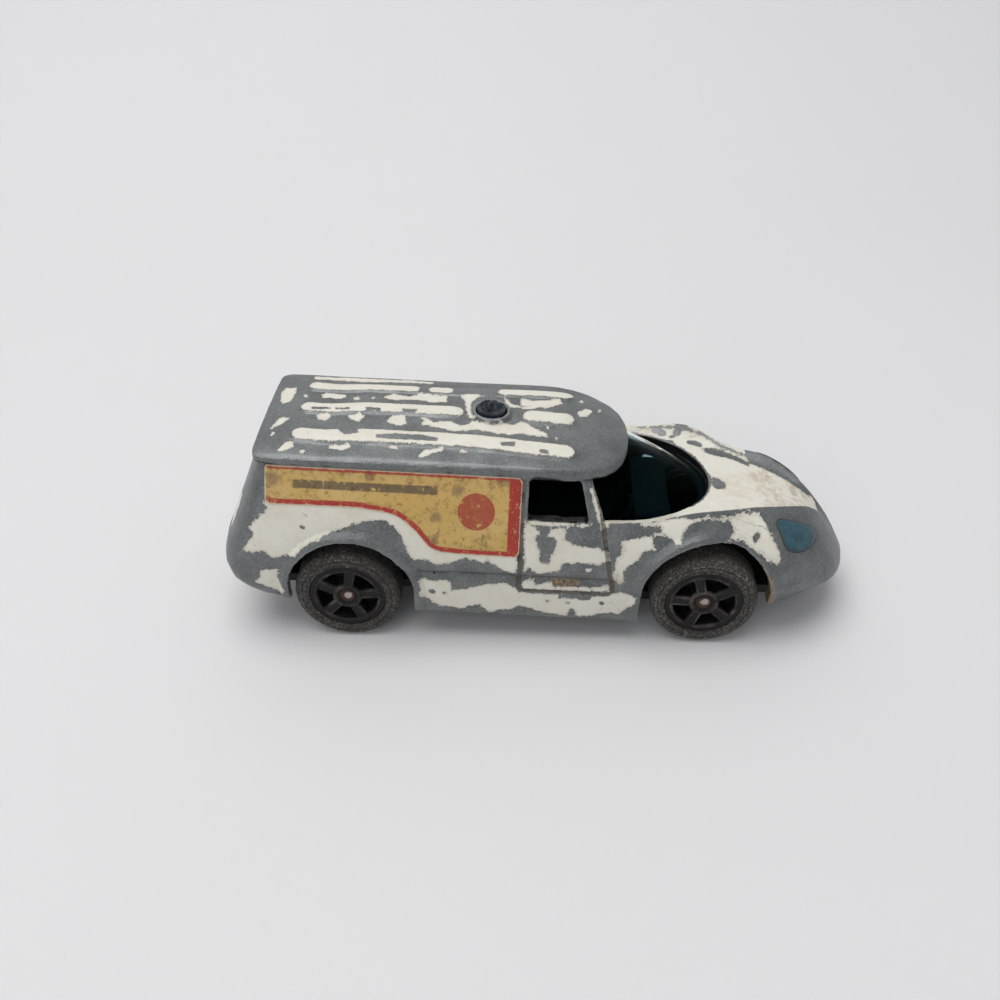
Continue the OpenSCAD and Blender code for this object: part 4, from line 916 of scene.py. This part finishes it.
class AMBULANCE_OT_wheels(bpy.types.Operator):
    """Builds the four scuffed tyres with their moulded rings, and finishes the wheels and axles"""
    bl_idname = "ambulance.wheels"
    bl_label = "Wheels, tyres and axles"

    def execute(self, context):
        tyre = tyre_finish()
        black = plastic_finish("wheel_black", colours().wheel, (0.032, 0.03, 0.028), 0.5, 1300)
        # The raised ridges get lighter dust than the wheel. It is partly real dust and partly a painted highlight along
        # the spoke and hub edges.
        ridge_dust_and_sheen = plastic_finish("wheel_ridges_dust_and_sheen", (0.012, 0.0115, 0.011), (0.15, 0.138, 0.12), 0.6, 2600)
        for end, x in AXLES.items():
            dress(end + "_axle", axle_finish(end + "_axle_steel", x), 0.1)
            for side, hand in HANDS:
                dress(f"{end}_wheel_{hand}", black, sizes().edge_round / MM)
                self.tyre(f"{end}_{hand}", x, side, tyre)
                self.trim(f"{end}_{hand}", end, x, side, ridge_dust_and_sheen)
        return {"FINISHED"}

    def tyre(self, name, x, side, material):
        ring = sizes().tyre_ring / MM
        face = []
        for r in np.linspace(4.36, 5.28, 14):
            dent = ring * (math.exp(-((r - 4.55) / 0.07) ** 2) + math.exp(-((r - 5.12) / 0.07) ** 2))
            swell = 0.1 * math.exp(-((r - 4.85) / 0.2) ** 2)
            face.append((r, WHEEL_OUT - 0.12 - dent + swell))
        edge = 0.9
        turn = [(5.1 + edge * math.cos(a), WHEEL_OUT - edge - 0.12 + edge * math.sin(a))
                for a in np.radians(np.linspace(78, 0, 9))]
        back = [(5.1 + edge * math.cos(a), WHEEL_IN + edge - edge * math.sin(a))
                for a in np.radians(np.linspace(0, 90, 8))]
        tread = [(5.985, d) for d in np.linspace(WHEEL_OUT - 1.3, WHEEL_IN + 1.2, 8)]
        profile = face + turn + tread + back + [(4.6, WHEEL_IN + 0.02), (4.36, WHEEL_IN + 0.02)]
        verts, faces = revolve(profile, 132, x, side)
        seed = np.random.RandomState(len(name) * 7 + int(x * 10) % 97 + side)
        bumps = seed.rand(len(verts))
        centre = np.array([x * MM, 0, WHEEL_R * MM])
        away = verts - centre
        reach = np.hypot(away[:, 0], away[:, 2])
        pull = 1 - 0.05 * MM * bumps / reach * (reach > 4.5 * MM)
        verts[:, 0], verts[:, 2] = centre[0] + away[:, 0] * pull, centre[2] + away[:, 2] * pull
        piece = add_piece("tyre_" + name, verts, faces, material, name,
                          [name.replace("_", "_tyre_")])
        set_attribute(piece.data, "radius", reach / MM)

    def trim(self, name, end, x, side, material):
        """Raised ring round the hub and raised edges along the spokes."""
        hub = [(1.18, 10.9), (1.22, 11.22), (1.42, 11.32), (1.62, 11.2), (1.66, 10.9)]
        verts, faces = revolve(hub, 64, x, side)
        verts, faces = list(map(tuple, verts)), list(faces)
        rim = [(3.42, 10.9), (3.46, 11.2), (3.62, 11.26), (3.8, 11.2), (3.84, 10.9)]
        rim, rim_faces = revolve(rim, 96, x, side)
        faces += [tuple(i + len(verts) for i in f) for f in rim_faces]
        verts += list(map(tuple, rim))
        outline = [(-0.13, 10.95), (-0.1, 11.2), (0.0, 11.25), (0.1, 11.2), (0.13, 10.95)]
        for i in range(5):
            a = math.radians(TURN[end] + 72 * i)
            for offset in (-0.4, 0.4):
                base = len(verts)
                for r in (1.4, 2.1, 2.9, 3.6):
                    for w, d in outline:
                        v = offset * (1 + 0.12 * (r - 1.4)) + w
                        px, pz = r * math.cos(a) - v * math.sin(a), r * math.sin(a) + v * math.cos(a)
                        verts.append(((x + px) * MM, side * d * MM, (WHEEL_R - side * pz) * MM))
                for r in range(3):
                    for k in range(4):
                        q = base + r * 5 + k
                        faces.append((q + 1, q + 6, q + 5, q))
        add_piece("wheel_trim_" + name, verts, faces, material, name)


class AMBULANCE_OT_lamps(bpy.types.Operator):
    """Builds the headlamp lenses and the broken stub of the roof lamp"""
    bl_idname = "ambulance.lamps"
    bl_label = "Lamps"

    def execute(self, context):
        lens = lens_finish()
        tree = BVHTree.FromObject(bpy.data.objects["cast_body"], context.evaluated_depsgraph_get())
        for side, hand in HANDS:
            self.lens(tree, side, hand, lens)
        stub = plastic_finish("broken_lamp", (0.022, 0.03, 0.037), (0.09, 0.1, 0.11), 0.3, 2200, 0.08)
        seed = np.random.RandomState(11)
        rings, segments = (1.58, 1.5, 1.3, 1.05, 0.8, 0.5, 0.2), 44
        rough = seed.rand(len(rings), segments)
        base = ROOF_Z + ROOF_CROWN - 0.22
        levels = [-0.9, 0.62, 0.78, 0.66, 0.5, 0.44, 0.4, 0.42]
        verts = []
        for k, r in enumerate((1.58,) + rings):
            for i in range(segments):
                a = 2 * math.pi * i / segments
                jag = 0
                if k:
                    jag = (rough[k - 1][i] - 0.5) * (0.1 if k == 1 else 0.34) + 0.08 * math.sin(3 * a + k)
                verts.append((-LAMP_X + r * math.cos(a), r * math.sin(a), base + min(levels[k] + jag, 0.79)))
        verts.append((-LAMP_X, 0, base + 0.35))
        faces = grid(len(rings) + 1, segments, closed=True)
        last = len(rings) * segments
        faces += [(last + i, last + (i + 1) % segments, len(verts) - 1) for i in range(segments)]
        faces.append(tuple(range(segments - 1, -1, -1)))
        add_piece("broken_roof_lamp", from_casting(np.array(verts)), faces, stub, "body",
                  ["roof_lamp_stub"], smooth=False)
        return {"FINISHED"}

    def lens(self, tree, side, hand, material):
        """A lens that fills its opening flush with the wing, with a slight dome."""
        turn = Matrix.Rotation(RAKE, 3, "Y") @ Matrix.Rotation(math.radians(LENS_TURN), 3, "Z")
        turn = turn @ Matrix.Rotation(math.radians(LENS_TILT), 3, "Y")
        middle = Vector(from_casting(np.array([LENS_AT]))[0])
        axis = turn @ Vector((0, 0, 1))
        flip = Vector((1, side, 1))
        outline = lens_outline()
        spokes, rings = len(outline), 12
        centre = outline.mean(0)
        rows, levels = [], []
        for margin in (0.35, 0.6, 0.9):
            for u, v in outline:
                away = np.array([u, v]) - centre
                u, v = centre + away * (1 + margin / np.linalg.norm(away))
                start = (middle + turn @ Vector((u, v, 4)) * MM) * flip
                hit = tree.ray_cast(start, (-axis) * flip, 9 * MM)[0]
                if hit is not None:
                    rows.append((1, u, v, u * u, u * v, v * v))
                    levels.append((hit - middle * flip).dot(axis * flip) / MM)
        if len(rows) < spokes:
            raise RuntimeError("a lens lies off the wing")
        rows, levels = np.array(rows), np.array(levels)
        for _ in range(3):
            fit = np.linalg.lstsq(rows, levels, rcond=None)[0]
            keep = np.abs(rows @ fit - levels) < 0.35
            rows, levels = rows[keep], levels[keep]
        verts, edge = [], []
        for k in range(rings + 3):
            share = min(k / rings, 1.0)
            shrink = 0.0 if k <= rings else 0.02
            drop = 0.0 if k <= rings else 0.3 * (k - rings)
            for i in range(spokes):
                u, v = centre + (outline[i] - centre) * (share - shrink)
                level = fit @ np.array((1, u, v, u * u, u * v, v * v)) + 0.06 + 0.1 * (1 - share ** 4) - drop
                verts.append((middle + turn @ Vector((u, v, level)) * MM) * flip)
                edge.append(share)
        faces = grid(rings + 3, spokes, closed=True)
        if side > 0:
            faces = turned(faces)
        piece = add_piece("tinted_lens_" + hand, verts, faces, material, "body",
                          ["headlamp_lens_" + hand])
        set_attribute(piece.data, "rim", edge)
        piece.data.set_sharp_from_angle(angle=math.radians(50))


def lens_outline():
    """Rounded leaf, as points in the lamp's own frame, in mm."""
    points = np.array([(-2.65, 1.5), (-2.42, 0.6), (-1, -1.2), (0.5, -3), (1.05, -3.3), (1.6, -3), (2.05, -1.8),
                       (2.1, -0.4), (1.75, 1.05), (1.1, 2.1), (0.45, 2.4), (-0.75, 2.15), (-1.9, 1.85)])
    for _ in range(3):
        after = np.roll(points, -1, 0)
        points = np.stack([points * 0.75 + after * 0.25, points * 0.25 + after * 0.75], 1).reshape(-1, 2)
    return points


class AMBULANCE_OT_inside(bpy.types.Operator):
    """Finishes the base plate, rivets, cab moulding and steering wheel"""
    bl_idname = "ambulance.inside"
    bl_label = "Base and cab"

    def execute(self, context):
        # The base plate's near-black colour is partly its dark metal and partly painted shade, standing in for the dark
        # cab and underside.
        base = plastic_finish("base_metal", (0.014, 0.015, 0.016), (0.05, 0.043, 0.036), 0.5, 1000, 0.05)
        cab = plastic_finish("cab_black", (0.005, 0.005, 0.0055), (0.014, 0.014, 0.015), 0.5, 1200, 0.03)
        dress("base_plate", base, 0.15)
        dress("base_rivets", steel_finish(), 0.12)
        dress("cab_interior", cab, 0.15)
        dress("steering_wheel", cab)
        return {"FINISHED"}


class AMBULANCE_OT_stage(bpy.types.Operator):
    """Sets the pale floor, the soft lights and the camera"""
    bl_idname = "ambulance.stage"
    bl_label = "Stage"

    def execute(self, context):
        scene = context.scene
        for name in ("Cube", "Light", "Camera"):
            if name in bpy.data.objects:
                bpy.data.objects.remove(bpy.data.objects[name])
        self.floor()
        world = bpy.data.worlds.new("studio")
        world.use_nodes = True
        world.node_tree.nodes["Background"].inputs[0].default_value = (0.93, 0.96, 1.0, 1)
        world.node_tree.nodes["Background"].inputs[1].default_value = 0.36
        scene.world = world
        self.lamp("overhead", (-0.1, -0.02, 0.55), (0, 0, 0.01), 0.5, 2.12)
        self.lamp("front_fill", (-0.25, -0.5, 0.32), (0, 0, 0.01), 0.45, 0.64)
        scene.view_settings.view_transform = "Standard"
        pitch, yaw, roll = (math.radians(v) for v in (36.9, -3.25, 1.08))
        ahead = Vector((math.sin(yaw) * math.cos(pitch), math.cos(yaw) * math.cos(pitch), -math.sin(pitch)))
        right = Vector((math.cos(yaw), -math.sin(yaw), 0))
        down = ahead.cross(right)
        level = math.cos(roll) * right + math.sin(roll) * down
        fall = -math.sin(roll) * right + math.cos(roll) * down
        data = bpy.data.cameras.new("photo_camera")
        data.sensor_width = 36
        data.lens = 36.97
        data.clip_start = 0.002
        camera = bpy.data.objects.new("photo_camera", data)
        turn = Matrix((level, -fall, -ahead)).transposed().to_4x4()
        camera.matrix_world = Matrix.Translation(Vector((0.98, -96.15, 83.77)) * MM) @ turn
        scene.collection.objects.link(camera)
        scene.camera = camera
        return {"FINISHED"}

    def floor(self):
        verts = []
        path = [(-0.6, 0.0), (0.1, 0.0)]
        path += [(0.1 + 0.15 * math.sin(a), 0.15 * (1 - math.cos(a))) for a in np.radians(np.linspace(8, 82, 10))]
        path += [(0.25, 0.16), (0.27, 0.6)]
        for y, z in path:
            verts += [(-0.9, y, z), (0.9, y, z)]
        faces = [(2 * i, 2 * i + 1, 2 * i + 3, 2 * i + 2) for i in range(len(path) - 1)]
        mesh = bpy.data.meshes.new("pale_floor")
        mesh.from_pydata(verts, [], faces)
        mesh.polygons.foreach_set("use_smooth", [True] * len(mesh.polygons))
        f = Finish("pale_floor")
        where = f.place()
        cloud, weave = f.noise(where, 9, 3), f.noise(where, 5200, 2)
        tone = tuple(colours().floor)
        mesh.materials.append(f.set(Base_Color=f.blend(cloud * 0.5, tone, shade(tone, 0.93)),
                                    Roughness=0.75 + weave * 0.1, Normal=f.bump(weave, 0.03 * MM, 0.3)))
        floor = bpy.data.objects.new("pale_floor", mesh)
        bpy.context.scene.collection.objects.link(floor)

    def lamp(self, name, place, aim, size, power):
        data = bpy.data.lights.new(name, "AREA")
        data.shape = "DISK"
        data.size = size
        data.energy = power
        lamp = bpy.data.objects.new(name, data)
        lamp.location = place
        lamp.rotation_euler = (Vector(aim) - Vector(place)).to_track_quat("-Z", "Y").to_euler()
        bpy.context.scene.collection.objects.link(lamp)


class AMBULANCE_PT_panel(bpy.types.Panel):
    """Lists the steps that build the toy"""
    bl_idname = "AMBULANCE_PT_panel"
    bl_label = "Toy ambulance"
    bl_space_type = "VIEW_3D"
    bl_region_type = "UI"
    bl_category = "Ambulance"

    def draw(self, context):
        for step in STEPS:
            self.layout.operator(step.bl_idname)
        for group in (context.scene.ambulance_colours, context.scene.ambulance_sizes):
            box = self.layout.box()
            for name in group.bl_rna.properties.keys():
                if name not in ("rna_type", "name"):
                    box.prop(group, name)


STEPS = (AMBULANCE_OT_stage, AMBULANCE_OT_casting, AMBULANCE_OT_glazing, AMBULANCE_OT_labels, AMBULANCE_OT_wheels,
         AMBULANCE_OT_lamps, AMBULANCE_OT_inside)
CLASSES = (AmbulanceColours, AmbulanceSizes) + STEPS + (AMBULANCE_PT_panel,)


def register():
    for cls in CLASSES:
        bpy.utils.register_class(cls)
    bpy.types.Scene.ambulance_colours = bpy.props.PointerProperty(type=AmbulanceColours)
    bpy.types.Scene.ambulance_sizes = bpy.props.PointerProperty(type=AmbulanceSizes)


def unregister():
    del bpy.types.Scene.ambulance_sizes
    del bpy.types.Scene.ambulance_colours
    for cls in reversed(CLASSES):
        bpy.utils.unregister_class(cls)


def main():
    register()
    for step in STEPS:
        group, name = step.bl_idname.split(".")
        getattr(getattr(bpy.ops, group), name)()


if __name__ == "__main__":
    main()
